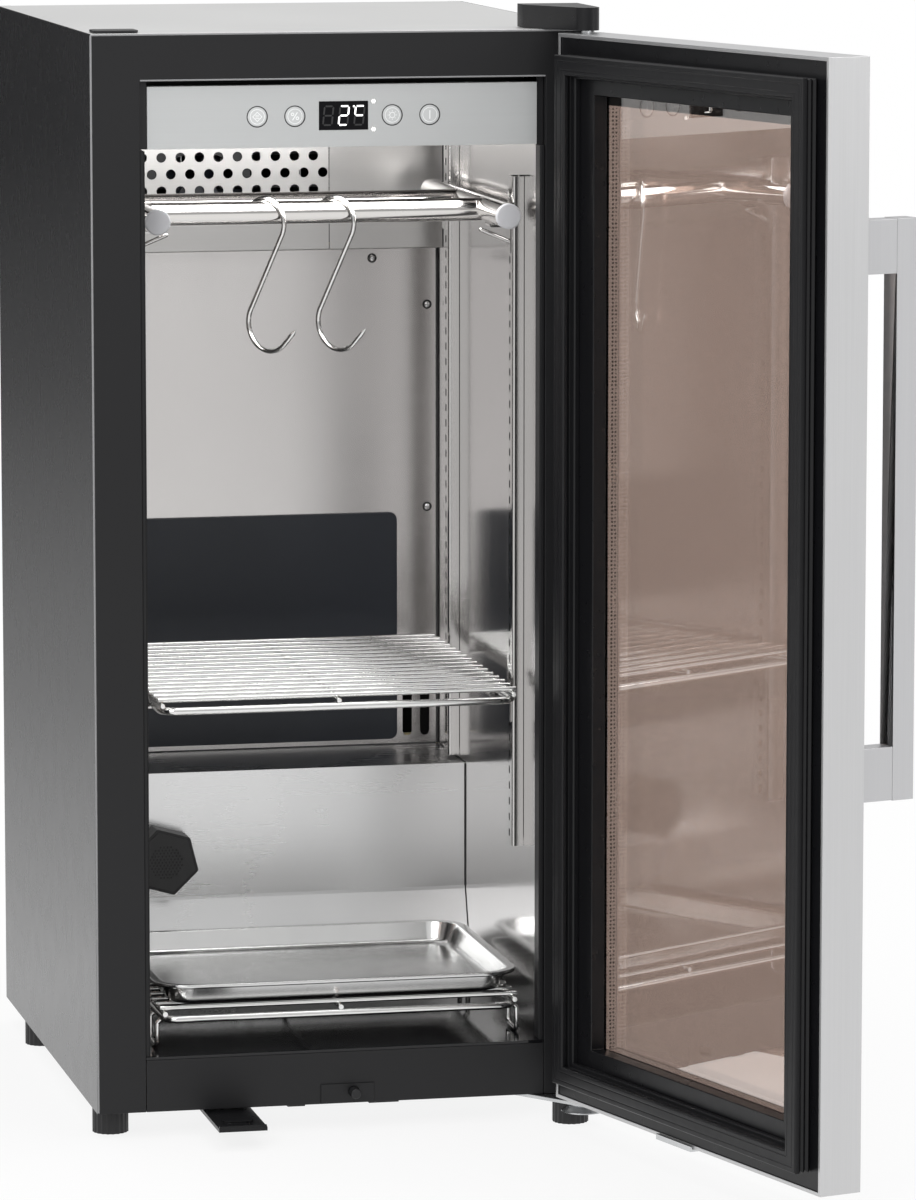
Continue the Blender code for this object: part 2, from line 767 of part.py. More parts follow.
def rear_panel():
    """One sheet with rows of air slots behind the compressor and a hole for the mains lead."""
    edge = SKIN + GAP
    outline = rectangle(edge, 0, BODY_WIDTH - edge, BODY_HEIGHT - edge)
    pitch = (BAY_TOP - GRILLE_MARGIN * 2) / (GRILLE_SLOTS - 1)
    low_x = SIDE_FLANGE + GRILLE_MARGIN
    high_x = GLAND_X - GLAND_RADIUS * 2
    middle = (low_x + high_x) / 2
    holes = [circle((GLAND_X, GLAND_Z), GLAND_NECK + GAP)]
    for row in range(GRILLE_SLOTS):
        bottom = GRILLE_MARGIN + pitch * row - GRILLE_SLOT_HEIGHT / 2
        top = bottom + GRILLE_SLOT_HEIGHT
        holes.append(rectangle(low_x, bottom, middle - GRILLE_SLOT_HEIGHT, top))
        holes.append(rectangle(middle + GRILLE_SLOT_HEIGHT, bottom, high_x, top))
    mesh = plate_mesh(outline, "XZ", REAR_INNER, REAR_INNER + SKIN, holes)
    add_piece("rear_panel", mesh, GALVANISED)


def base_pan():
    """The bottom sheet, with holes for three feet and two lugs that hold the pedal's cross pin."""
    edge = SKIN + GAP
    outline = rectangle(edge, FRAME_RETURN + GAP, BODY_WIDTH - edge, REAR_INNER - GAP)
    holes = []
    for name in ("foot_front_left", "foot_rear_left", "foot_rear_right"):
        holes.append(circle(FOOT_PLACES[name], FOOT_STUD_RADIUS + GAP))
    shapes = [plate(outline, "XY", 0, SKIN, holes)]
    for side in (-1, 1):
        inner = PEDAL_X + side * (PEDAL_WIDTH / 2 + GAP)
        outer = inner + side * LUG_THICK
        low = (min(inner, outer), PEDAL_BACK - LUG_REACH, PEDAL_PIVOT.z - LUG_REACH)
        high = (max(inner, outer), PEDAL_BACK + LUG_REACH, SKIN - WELD)
        shapes.append(box(low, high))
    piece = fused("base_pan", shapes, GALVANISED)
    start = PEDAL_PIVOT - Vector((PEDAL_WIDTH, 0, 0))
    end = PEDAL_PIVOT + Vector((PEDAL_WIDTH, 0, 0))
    add_tool(piece, shapes_mesh("pivot_holes", [rod(start, end, PIVOT_RADIUS + GAP)]), "DIFFERENCE")


def insulation_foam():
    edge = SKIN + GAP * 2
    low = (edge, FOAM_FRONT, SKIN + GAP)
    high = (BODY_WIDTH - edge, REAR_INNER - GAP, BODY_HEIGHT - edge)
    piece = add_piece("insulation_foam", shapes_mesh("insulation_foam", [box(low, high)]), FOAM)
    side = LINER + GAP
    left = OPENING_LOW_X - side
    right = OPENING_HIGH_X + side
    top = OPENING_TOP + side
    front = FOAM_FRONT - OVERRUN
    sill = EVAPORATOR_SILL
    back = CAVITY_DEPTH + side
    cooler_back = CAVITY_DEPTH + EVAPORATOR_POCKET
    duct_low = (left + DUCT_MARGIN, STEP_FRONT, SLOT_BOTTOM)
    duct_high = (right - DUCT_MARGIN, CAVITY_DEPTH + DUCT_DEPTH, sill + OVERRUN)
    clear = GAP * 2
    stud_top = FOOT_STUD + clear
    stud = FOOT_STUD_RADIUS + clear
    pin_tail = PUSH_PIN_TAIL + clear
    spigot = STEP_FRONT + SPIGOT_LENGTH + side
    line_x = COOLER_LOW[0] + COOLER_SIZE[0] + LINE_RADIUS * 2
    line_y = COOLER_LOW[1] + COOLER_SIZE[1] / 2
    shapes = [
        box((left, front, STEP_TOP - side), (right, back, top)),
        box((left, front, PLINTH_HEIGHT), (right, STEP_FRONT + side, STEP_TOP)),
        box((left, CAVITY_DEPTH, sill), (right, cooler_back, top)),
        box(duct_low, duct_high),
        box((0, BAY_FRONT, 0), (BODY_WIDTH, BODY_DEPTH, BAY_TOP)),
        rod((FILTER_X, STEP_FRONT, FILTER_Z), (FILTER_X, spigot, FILTER_Z), SPIGOT_RADIUS + clear, ROUND),
        rod((PUSH_PIN_X, 0, PUSH_PIN_Z), (PUSH_PIN_X, pin_tail, PUSH_PIN_Z), PUSH_PIN_RADIUS + clear),
        rod((line_x, line_y, BAY_TOP - OVERRUN), (line_x, line_y, sill + OVERRUN), LINE_RADIUS + GAP),
    ]
    for name in ("foot_front_left", "foot_rear_left", "foot_rear_right"):
        x, y = FOOT_PLACES[name]
        shapes.append(rod((x, y, 0), (x, y, stud_top), stud))
    add_tool(piece, shapes_mesh("insulation_cutter", shapes), "DIFFERENCE", own_overlaps=True)


def front_frame():
    edge = SKIN + GAP
    top = BODY_HEIGHT - edge
    outline = [
        (edge, 0),
        (OPENING_LOW_X, 0),
        (OPENING_LOW_X, OPENING_TOP),
        (OPENING_HIGH_X, OPENING_TOP),
        (OPENING_HIGH_X, 0),
        (BODY_WIDTH - edge, 0),
        (BODY_WIDTH - edge, top),
        (edge, top),
    ]
    mesh = folded_mesh(outline, "XZ", 0, {1: FRAME_RETURN, 2: FRAME_RETURN, 3: FRAME_RETURN})
    piece = add_piece("front_frame", mesh, PAINT)
    thicken(piece, FRAME_SHEET, (0, 1, 0))


def plinth_panel():
    low = OPENING_LOW_X + GAP
    high = OPENING_HIGH_X - GAP
    mesh = folded_mesh(rectangle(low, 0, high, PLINTH_HEIGHT), "XZ", 0, {2: FRAME_RETURN, 0: FRAME_RETURN})
    piece = add_piece("plinth_panel", mesh, PAINT)
    thicken(piece, FRAME_SHEET, (0, 1, 0))
    start = (PUSH_PIN_X, -OVERRUN, PUSH_PIN_Z)
    end = (PUSH_PIN_X, FRAME_SHEET + OVERRUN, PUSH_PIN_Z)
    add_tool(piece, shapes_mesh("pin_hole", [rod(start, end, PUSH_PIN_RADIUS + GAP)]), "DIFFERENCE")


def pin_access_cover():
    hole = circle((PUSH_PIN_X, PUSH_PIN_Z), PUSH_PIN_RADIUS + GAP)
    outline = rectangle(ACCESS_LOW_X, GAP, ACCESS_HIGH_X, ACCESS_TOP)
    mesh = plate_mesh(outline, "XZ", -GAP - ACCESS_SHEET, -GAP, [hole])
    add_piece("pin_access_cover", mesh, BLACK_PLASTIC)


# Cavity


def cavity_liner():
    """The side walls and the ceiling, one folded sheet, with the lower back corners cut away for the step."""
    bm = bmesh.new()
    left = [
        (OPENING_LOW_X, LINER_FRONT, FLOOR_TOP - FLOOR_SHEET),
        (OPENING_LOW_X, STEP_FRONT - GAP, FLOOR_TOP - FLOOR_SHEET),
        (OPENING_LOW_X, STEP_FRONT - GAP, STEP_TOP + GAP),
        (OPENING_LOW_X, CAVITY_DEPTH - GAP, STEP_TOP + GAP),
        (OPENING_LOW_X, CAVITY_DEPTH - GAP, OPENING_TOP),
        (OPENING_LOW_X, LINER_FRONT, OPENING_TOP),
    ]
    wall = [bm.verts.new(place) for place in left]
    bm.faces.new(wall)
    top_edge = bm.edges.get((wall[4], wall[5]))
    ceiling = bmesh.ops.extrude_edge_only(bm, edges=[top_edge])["geom"]
    across = [item for item in ceiling if isinstance(item, bmesh.types.BMVert)]
    bmesh.ops.translate(bm, verts=across, vec=(OPENING_HIGH_X - OPENING_LOW_X, 0, 0))
    across.sort(key=lambda vert: -vert.co.y)
    right = [bm.verts.new((OPENING_HIGH_X, place[1], place[2])) for place in left[:4]]
    bm.faces.new(right + across)
    bmesh.ops.recalc_face_normals(bm, faces=bm.faces)
    mesh = bpy.data.meshes.new("cavity_liner")
    bm.to_mesh(mesh)
    bm.free()
    piece = add_piece("cavity_liner", mesh, STAINLESS)
    thicken(piece, LINER, (-1, 0, 0))


def cavity_rear_panel():
    low = OPENING_LOW_X + GAP
    high = OPENING_HIGH_X - GAP
    outline = rectangle(low, STEP_TOP + GAP, high, EVAPORATOR_SILL - GAP)
    top = SLOT_BOTTOM + SLOT_LENGTH
    holes = []
    for offset in SLOT_OFFSETS:
        for middle in (MID_X - offset, MID_X + offset):
            holes.append(upright_slot(middle, SLOT_BOTTOM, top, SLOT_WIDTH))
    mesh = plate_mesh(outline, "XZ", CAVITY_DEPTH, CAVITY_DEPTH + LINER, holes)
    add_piece("cavity_rear_panel", mesh, STAINLESS)


def evaporator_cover():
    low = OPENING_LOW_X + GAP
    high = OPENING_HIGH_X - GAP
    outline = rectangle(low, EVAPORATOR_SILL, high, OPENING_TOP - GAP)
    return_depth = CAVITY_DEPTH - EVAPORATOR_FACE - GAP
    piece = add_piece("evaporator_cover", folded_mesh(outline, "XZ", EVAPORATOR_FACE, {0: return_depth}), STAINLESS)
    thicken(piece, LINER, (0, 1, 0))
    holes = []
    for row in range(HOLE_ROWS):
        z = HOLE_FIRST_Z + HOLE_ROW_PITCH * row
        shift = HOLE_PITCH / 2 if row % 2 == 0 else 0
        for column in range(HOLE_COLUMNS):
            x = HOLE_FIRST_X + shift + HOLE_PITCH * column
            start = (x, EVAPORATOR_FACE - OVERRUN, z)
            end = (x, EVAPORATOR_FACE + LINER + OVERRUN, z)
            holes.append(rod(start, end, HOLE_RADIUS, THIN_WIRE_ROUND))
    add_tool(piece, shapes_mesh("perforations", holes), "DIFFERENCE")


def step_liner():
    """The step over the compressor: its front face and its top."""
    low = OPENING_LOW_X + GAP
    high = OPENING_HIGH_X - GAP
    outline = rectangle(low, FLOOR_TOP + GAP, high, STEP_TOP)
    depth = CAVITY_DEPTH - GAP - STEP_FRONT
    piece = add_piece("compressor_step_liner", folded_mesh(outline, "XZ", STEP_FRONT, {2: depth}), STAINLESS)
    thicken(piece, LINER, (0, 1, 0))
    start = (FILTER_X, STEP_FRONT - OVERRUN, FILTER_Z)
    end = (FILTER_X, STEP_FRONT + OVERRUN, FILTER_Z)
    add_tool(piece, shapes_mesh("filter_hole", [rod(start, end, SPIGOT_RADIUS + GAP, ROUND)]), "DIFFERENCE")


def cavity_floor():
    low = (OPENING_LOW_X + GAP, GAP, PLINTH_HEIGHT + GAP)
    high = (OPENING_HIGH_X - GAP, STEP_FRONT - GAP, FLOOR_TOP)
    add_piece("cavity_floor", shapes_mesh("cavity_floor", [box(low, high)]), BLACK_GLOSS)


def air_duct_panel():
    outline = rounded_rectangle(
        MID_X - DUCT_PANEL_HALF,
        DUCT_PANEL_BOTTOM,
        MID_X + DUCT_PANEL_HALF,
        DUCT_PANEL_TOP,
        DUCT_PANEL_RADIUS,
    )
    back = CAVITY_DEPTH - GAP
    add_piece("air_duct_panel", plate_mesh(outline, "XZ", back - DUCT_PANEL_THICK, back), DARK_PANEL)


def shelf_rails():
    """Four slotted channels on the side walls, each with the two clips hooked into it."""
    for side, wall, way in (("left", OPENING_LOW_X, 1), ("right", OPENING_HIGH_X, -1)):
        for end, near_y, bottom in (
            ("front", RAIL_FRONT_Y, RAIL_FRONT_BOTTOM),
            ("rear", RAIL_REAR_Y, RAIL_REAR_BOTTOM),
        ):
            face = wall + way * (GAP + RAIL_DEPTH)
            shelf_rail(f"rail_{end}_{side}", face, way, near_y, bottom)


def shelf_rail(name, face, way, near_y, bottom):
    outline = rectangle(near_y, bottom, near_y + RAIL_WIDTH, RAIL_TOP)
    flange = -way * RAIL_DEPTH
    mesh = folded_mesh(outline, "YZ", face, {1: flange, 3: flange})
    piece = add_piece(name, mesh, STAINLESS)
    thicken(piece, RAIL_SHEET, (-way, 0, 0))
    middle_y = near_y + RAIL_WIDTH / 2
    add_tool(piece, shapes_mesh("rail_slots", rail_slots(middle_y, bottom, face)), "DIFFERENCE")
    add_tool(piece, shapes_mesh("rail_clips", rail_clips(middle_y, face, way)), "UNION", own_overlaps=True)


def rail_slots(middle_y, bottom, face):
    half = RAIL_SLOT_WIDTH / 2
    count = int((RAIL_TOP - bottom) / RAIL_SLOT_PITCH)
    slots = []
    for index in range(count):
        low_z = bottom + RAIL_SLOT_PITCH * index + RAIL_SLOT_HEIGHT / 2
        low = (face - OVERRUN, middle_y - half, low_z)
        high = (face + OVERRUN, middle_y + half, low_z + RAIL_SLOT_HEIGHT)
        slots.append(box(low, high))
    return slots


def rail_clips(middle_y, face, way):
    """Angle clips: one under the hanging frame and one under the wire shelf."""
    half = CLIP_WIDTH / 2
    shapes = []
    for seat in (TUBE_Z - TUBE_RADIUS - GAP, SHELF_Z - FRAME_WIRE_RADIUS - GAP):
        rail_side = face - way * WELD
        for reach, low_z in ((CLIP_SHEET, seat - CLIP_HEIGHT), (CLIP_REACH, seat - CLIP_SHEET)):
            edge = face + way * reach
            top = seat - (WELD if reach == CLIP_SHEET else 0)
            low = (min(rail_side, edge), middle_y - half, low_z)
            high = (max(rail_side, edge), middle_y + half, top)
            shapes.append(box(low, high))
    return shapes


# Wire goods


def wire_goods(name, z, front_y, count, rear_y, finish, extra=()):
    """A frame wire with rounded corners, three stiffeners across it and thin wires on top."""
    low_x = MID_X - WIRE_HALF_WIDTH
    high_x = MID_X + WIRE_HALF_WIDTH
    loop = rounded_rectangle(low_x, front_y, high_x, rear_y, WIRE_CORNER)
    shapes = [tube([(x, y, z) for x, y in loop], FRAME_WIRE_RADIUS, closed=True)]
    stiffener_z = z + FRAME_WIRE_RADIUS + THIN_WIRE_RADIUS - WELD
    thin_z = stiffener_z + THIN_WIRE_RADIUS * 2 - WELD
    for x in (low_x, MID_X, high_x):
        start = (x, front_y - THIN_WIRE_RADIUS, stiffener_z)
        end = (x, rear_y + THIN_WIRE_RADIUS, stiffener_z)
        shapes.append(rod(start, end, THIN_WIRE_RADIUS, THIN_WIRE_ROUND))
    for index in range(count):
        y = front_y + WIRE_FRONT_INSET + WIRE_PITCH * index
        start = (low_x - FRAME_WIRE_RADIUS, y, thin_z)
        end = (high_x + FRAME_WIRE_RADIUS, y, thin_z)
        shapes.append(rod(start, end, THIN_WIRE_RADIUS, THIN_WIRE_ROUND))
    return fused(name, shapes + list(extra), finish, smooth=True)


def wire_shelf():
    wire_goods("wire_shelf", SHELF_Z, SHELF_FRONT_Y, SHELF_WIRES, SHELF_REAR_Y, STAINLESS)


def bottom_rack():
    """The lower rack stands on four bent wire legs."""
    legs = []
    bottom = FLOOR_TOP + GAP + THIN_WIRE_RADIUS
    for side in (-1, 1):
        inner_x = MID_X + side * WIRE_HALF_WIDTH
        outer_x = inner_x + side * LEG_OUT
        for near_y in (RACK_FRONT_Y + WIRE_CORNER, RACK_REAR_Y - WIRE_CORNER - LEG_LENGTH):
            far_y = near_y + LEG_LENGTH
            route = [
                (inner_x, near_y, RACK_Z),
                (outer_x, near_y, RACK_Z - LEG_OUT),
                (outer_x, near_y, bottom),
                (outer_x, far_y, bottom),
                (outer_x, far_y, RACK_Z - LEG_OUT),
                (inner_x, far_y, RACK_Z),
            ]
            legs.append(tube(route, THIN_WIRE_RADIUS))
    wire_goods("bottom_rack", RACK_Z, RACK_FRONT_Y, RACK_WIRES, RACK_REAR_Y, STAINLESS, legs)


def drip_tray():
    bottom = RACK_Z + WIRE_RISE + GAP
    top = bottom + TRAY_HEIGHT
    levels = (
        (TRAY_RIM + TRAY_DRAFT, bottom),
        (TRAY_RIM, top),
        (0, top),
        (0, top - TRAY_LIP),
    )
    bm = bmesh.new()
    loops = []
    for inset, z in levels:
        radius = TRAY_RADIUS - inset
        outline = rounded_rectangle(
            MID_X - TRAY_HALF_WIDTH + inset,
            TRAY_FRONT_Y + inset,
            MID_X + TRAY_HALF_WIDTH - inset,
            TRAY_FRONT_Y + TRAY_LENGTH - inset,
            radius,
        )
        verts = [bm.verts.new((x, y, z)) for x, y in outline]
        loops.append([bm.edges.new((verts[i], verts[(i + 1) % len(verts)])) for i in range(len(verts))])
        if z == bottom:
            bm.faces.new(verts)
    for loop, following in zip(loops, loops[1:]):
        bmesh.ops.bridge_loops(bm, edges=loop + following)
    bmesh.ops.recalc_face_normals(bm, faces=bm.faces)
    mesh = bpy.data.meshes.new("drip_tray")
    bm.to_mesh(mesh)
    bm.free()
    piece = add_piece("drip_tray", mesh, STAINLESS)
    thicken(piece, TRAY_SHEET, (0, 0, 1))


# Hanging frame


def hanging_frame():
    shapes = []
    for x in (MID_X - TUBE_HALF_SPACING, MID_X + TUBE_HALF_SPACING):
        shapes.append(rod((x, TUBE_FRONT_Y, TUBE_Z), (x, TUBE_REAR_Y, TUBE_Z), TUBE_RADIUS, TUBE_ROUND))
        cap_front = (x, TUBE_FRONT_Y - CAP_LENGTH, TUBE_Z)
        cap_back = (x, TUBE_FRONT_Y + CAP_LENGTH, TUBE_Z)
        shapes.append(rod(cap_front, cap_back, CAP_RADIUS, ROUND))
    for y in (CROSS_FRONT_Y, CROSS_REAR_Y):
        start = (MID_X - TUBE_HALF_SPACING, y, TUBE_Z)
        end = (MID_X + TUBE_HALF_SPACING, y, TUBE_Z)
        shapes.append(rod(start, end, CROSS_RADIUS, TUBE_ROUND))
    fused("hanging_frame", shapes, STAINLESS, smooth=True)


def hook_route():
    """The S shape in its own plane, across it and up from the middle of its upper bend."""
    away = Vector((HOOK_SHIFT, -HOOK_DROP))
    bends = HOOK_UPPER_RADIUS + HOOK_LOWER_RADIUS
    lean = math.asin(bends / away.length) + math.atan2(HOOK_SHIFT, HOOK_DROP)
    end = math.tau + HOOK_POINT_ANGLE
    upper = arc((0, 0), HOOK_UPPER_RADIUS, math.pi, -lean, HOOK_BEND_STEPS)
    lower = arc(away, HOOK_LOWER_RADIUS, math.pi - lean, end, HOOK_BEND_STEPS)
    tip = Vector(lower[-1]) + Vector((HOOK_TIP, HOOK_TIP)) / math.sqrt(2)
    return upper + lower + [tip]


def hooks():
    """Two hooks that hang on the front cross tube and swing about it."""
    bend_z = TUBE_Z + CROSS_RADIUS + GAP + HOOK_WIRE_RADIUS - HOOK_UPPER_RADIUS
    for name, x in zip(("hook_left", "hook_right"), HOOK_X):
        across = Vector((math.cos(HOOK_TURN), math.sin(HOOK_TURN), 0))
        bend = Vector((x, CROSS_FRONT_Y, bend_z))
        route = [bend + across * a + Vector((0, 0, b)) for a, b in hook_route()]
        pivot = (x, CROSS_FRONT_Y, TUBE_Z)
        add_piece(name, tube_mesh(route, HOOK_WIRE_RADIUS), STAINLESS, pivot=pivot, smooth=True)


# Charcoal filter


def charcoal_filter():
    """A six-sided cartridge on a bayonet spigot, with a round grille of blind holes."""
    middle = (FILTER_X, FILTER_Z)
    outline = arc(middle, FILTER_SIDE, FILTER_TILT, FILTER_TILT + math.tau, 6)[:-1]
    front = STEP_FRONT - GAP - FILTER_DEPTH
    back = STEP_FRONT - GAP
    spigot_end = STEP_FRONT + SPIGOT_LENGTH
    shapes = [
        plate(outline, "XZ", front, back),
        rod((FILTER_X, back - OVERRUN, FILTER_Z), (FILTER_X, spigot_end, FILTER_Z), SPIGOT_RADIUS, ROUND),
    ]
    pivot = (FILTER_X, front, FILTER_Z)
    piece = fused("charcoal_filter", shapes, BLACK_PLASTIC, pivot=pivot)
    holes = []
    rings = int(FILTER_GRILLE_RADIUS / FILTER_HOLE_PITCH)
    row_pitch = FILTER_HOLE_PITCH * math.cos(math.radians(30))
    for row in range(-rings, rings + 1):
        shift = FILTER_HOLE_PITCH / 2 if row % 2 else 0
        for column in range(-rings, rings + 1):
            x = FILTER_HOLE_PITCH * column + shift
            z = row_pitch * row
            if math.hypot(x, z) + FILTER_HOLE_RADIUS > FILTER_GRILLE_RADIUS:
                continue
            start = (FILTER_X + x, front - OVERRUN, FILTER_Z + z)
            end = (FILTER_X + x, front + FILTER_HOLE_DEPTH, FILTER_Z + z)
            holes.append(rod(start, end, FILTER_HOLE_RADIUS, 6))
    add_tool(piece, shapes_mesh("filter_holes", holes), "DIFFERENCE")


# Control panel


def control_housing():
    low_x = OPENING_LOW_X + GAP
    high_x = OPENING_HIGH_X - GAP
    top = OPENING_TOP - GAP
    front = FASCIA_Y + HOUSING_WALL
    back = FASCIA_Y + HOUSING_DEPTH
    floor_front = FASCIA_Y + FASCIA_RETURN + FASCIA_SHEET + GAP
    floor = FASCIA_BOTTOM
    shapes = [
        box((low_x, front, floor), (FASCIA_LOW_X - GAP, back, top)),
        box((FASCIA_HIGH_X + GAP, front, floor), (high_x, back, top)),
        box((low_x + WELD, back - HOUSING_WALL, floor + WELD), (high_x - WELD, back - WELD, top - WELD)),
        box((low_x + WELD, floor_front, floor + WELD), (high_x - WELD, back - WELD, floor + HOUSING_WALL)),
    ]
    fused("control_housing", shapes, BLACK_PLASTIC)


def control_fascia():
    outline = rectangle(FASCIA_LOW_X, FASCIA_BOTTOM, FASCIA_HIGH_X, FASCIA_TOP)
    folds = {0: FASCIA_RETURN, 1: FASCIA_RETURN, 2: FASCIA_RETURN, 3: FASCIA_RETURN}
    piece = add_piece("control_fascia", folded_mesh(outline, "XZ", FASCIA_Y, folds), SILVER_PAINT)
    thicken(piece, FASCIA_SHEET, (0, 1, 0))
    near = FASCIA_Y - OVERRUN
    far = FASCIA_Y + FASCIA_SHEET + OVERRUN
    shapes = [
        box(
            (DISPLAY_LOW_X - GAP, near, DISPLAY_LOW_Z - GAP),
            (DISPLAY_HIGH_X + GAP, far, DISPLAY_HIGH_Z + GAP),
        )
    ]
    for x in BUTTON_X:
        shapes.append(rod((x, near, BUTTON_Z), (x, far, BUTTON_Z), BUTTON_RADIUS + GAP, ROUND))
    for z in (DISPLAY_LOW_Z, DISPLAY_HIGH_Z):
        shapes.append(rod((LAMP_X, near, z), (LAMP_X, far, z), LAMP_RADIUS + GAP))
    add_tool(piece, shapes_mesh("fascia_holes", shapes), "DIFFERENCE")


def control_buttons():
    names = ("button_mode", "button_humidity", "button_light", "button_power")
    for name, x in zip(names, BUTTON_X):
        flange_front = BUTTON_PROUD + FASCIA_SHEET + GAP
        flange_back = flange_front + BUTTON_FLANGE_THICK
        flange_radius = BUTTON_RADIUS + BUTTON_FLANGE
        profile = [
            (0, 0),
            (BUTTON_RADIUS - BUTTON_PROUD, 0),
            (BUTTON_RADIUS, -BUTTON_PROUD),
            (BUTTON_RADIUS, -flange_front),
            (flange_radius, -flange_front),
            (flange_radius, -flange_back),
            (SWITCH_SIDE / 2, -flange_back),
            (SWITCH_SIDE / 2, -BUTTON_LENGTH),
            (0, -BUTTON_LENGTH),
        ]
        place = (x, FASCIA_Y - BUTTON_PROUD, BUTTON_Z)
        turned(name, profile, SILVER_PAINT, pivot=place, turn=(math.pi / 2, 0, 0))


def control_board():
    """The circuit board on four posts, with its display, two lamps and a switch behind each button."""
    low_x = BUTTON_X[0] - BOARD_MARGIN
    high_x = BUTTON_X[-1] + BOARD_MARGIN
    low_z = FASCIA_BOTTOM + FASCIA_SHEET * 2
    high_z = FASCIA_TOP - FASCIA_SHEET * 2
    post_front = FASCIA_Y + FASCIA_SHEET + GAP
    display_front = FASCIA_Y - GAP
    button_back = FASCIA_Y - BUTTON_PROUD + BUTTON_LENGTH
    switch_front = button_back + BUTTON_TRAVEL + GAP
    into = BOARD_Y + WELD
    half = SWITCH_SIDE / 2
    shapes = [box((low_x, BOARD_Y, low_z), (high_x, BOARD_Y + BOARD_THICK, high_z))]
    shapes.append(box((DISPLAY_LOW_X, display_front, DISPLAY_LOW_Z), (DISPLAY_HIGH_X, into, DISPLAY_HIGH_Z)))
    for x in (low_x + POST_RADIUS * 2, high_x - POST_RADIUS * 2):
        for z in (low_z + POST_RADIUS * 2, high_z - POST_RADIUS * 2):
            shapes.append(rod((x, post_front, z), (x, into, z), POST_RADIUS, WIRE_ROUND))
    for x in BUTTON_X:
        shapes.append(box((x - half, switch_front, BUTTON_Z - half), (x + half, into, BUTTON_Z + half)))
    for z in (DISPLAY_LOW_Z, DISPLAY_HIGH_Z):
        shapes.append(rod((LAMP_X, display_front, z), (LAMP_X, into, z), LAMP_RADIUS, WIRE_ROUND))
    fused("control_board", shapes, BLACK_GLOSS)


# Hinges


def hinge_outline(inner_x, inset):
    """Plan of a hinge plate: a back edge on the body, a slanted inner edge and a round nose about the pin."""
    side_x = BODY_WIDTH - HINGE_SIDE_MARGIN - inset
    back_y = HINGE_BACK_Y - inset
    nose = HINGE_NOSE - inset
    points = [(side_x, back_y), (inner_x + inset, back_y), (inner_x + inset, HINGE_BACK_Y / 2)]
    points += arc((AXIS_X, -AXIS_FROM_FACE), nose, math.pi, math.tau, 8)
    return points


def hinge_bracket_top():
    """A plate on top of the body with the pin that the door hangs on."""
    bottom = BODY_HEIGHT + GAP
    top = bottom + HINGE_PLATE
    axis = (AXIS_X, -AXIS_FROM_FACE)
    shapes = [
        plate(hinge_outline(HINGE_INNER_X, COVER_WALL + GAP), "XY", bottom, top),
        rod((*axis, top + PIN_HEAD), (*axis, top - WELD), PIN_HEAD_RADIUS),
        rod((*axis, top), (*axis, DOOR_TOP - PIN_REACH), PIN_RADIUS),
    ]
    fused("hinge_bracket_top", shapes, ZINC)


def hinge_cover():
    bottom = BODY_HEIGHT + GAP
    top = BODY_HEIGHT + COVER_HEIGHT
    outline = hinge_outline(HINGE_INNER_X, 0)
    piece = add_piece("hinge_cover", plate_mesh(outline, "XY", bottom, top), BLACK_PLASTIC)
    inner = hinge_outline(HINGE_INNER_X, COVER_WALL)
    add_tool(piece, plate_mesh(inner, "XY", bottom - OVERRUN, top - COVER_WALL), "DIFFERENCE")


def hinge_bracket_bottom():
    """A plate under the body with the lower pin and a hole for the foot that screws into it."""
    top = -GAP
    bottom = top - HINGE_PLATE
    hole = circle(FOOT_PLACES["foot_front_right"], FOOT_STUD_RADIUS + GAP)
    axis = (AXIS_X, -AXIS_FROM_FACE)
    shapes = [
        plate(hinge_outline(BRACKET_INNER_X, 0), "XY", bottom, top, [hole]),
        rod((*axis, bottom + WELD), (*axis, DOOR_BOTTOM + PIN_REACH), PIN_RADIUS),
    ]
    fused("hinge_bracket_bottom", shapes, ZINC)


def hinge_hole_cover():
    """Small plate over the hinge holes of the other hand, at the front left corner of the top."""
    low = HOLE_COVER_MARGIN
    outline = rounded_rectangle(low, low, low + HOLE_COVER_WIDTH, low + HOLE_COVER_DEPTH, HOLE_COVER_MARGIN)
    bottom = BODY_HEIGHT + GAP
    mesh = plate_mesh(outline, "XY", bottom, bottom + HOLE_COVER_THICK)
    add_piece("hinge_hole_cover", mesh, BLACK_PLASTIC)


# Door


def door_skin():
    outline = rectangle(DOOR_FREE_X, DOOR_BOTTOM, AXIS_FROM_SIDE, DOOR_TOP)
    folds = {0: DOOR_THICK, 1: DOOR_THICK, 2: DOOR_THICK, 3: DOOR_THICK}
    mesh = folded_mesh(outline, "XZ", DOOR_OUTER, folds, WINDOW_BORDER, WINDOW_RETURN)
    turn_lip_in(mesh)
    piece = add_piece("door_skin", mesh, STEEL_BRUSHED, parent=HINGE)
    thicken(piece, DOOR_SKIN, (0, 1, 0))
    axis_top = (0, 0, DOOR_TOP + OVERRUN)
    axis_bottom = (0, 0, DOOR_BOTTOM - OVERRUN)
    holes = [
        rod(axis_top, (0, 0, DOOR_TOP - OVERRUN), PIN_RADIUS + GAP),
        rod(axis_bottom, (0, 0, DOOR_BOTTOM + OVERRUN), PIN_RADIUS + GAP),
    ]
    add_tool(piece, shapes_mesh("door_pin_holes", holes), "DIFFERENCE")


def turn_lip_in(mesh):
    """Folds the back edge of the door's side walls inwards, as the thin lip round the inner face."""
    bm = bmesh.new()
    bm.from_mesh(mesh)
    rim = [e for e in bm.edges if e.is_boundary and all(abs(v.co.y - DOOR_INNER) < MERGE for v in e.verts)]
    moved = extrude_edges(bm, rim, (0, 0, 0))
    middle_x = (DOOR_FREE_X + AXIS_FROM_SIDE) / 2
    middle_z = (DOOR_BOTTOM + DOOR_TOP) / 2
    for vert in moved:
        vert.co.x += DOOR_LIP if vert.co.x < middle_x else -DOOR_LIP
        vert.co.z += DOOR_LIP if vert.co.z < middle_z else -DOOR_LIP
    bm.normal_update()
    bmesh.ops.recalc_face_normals(bm, faces=bm.faces)
    bm.to_mesh(mesh)
    bm.free()


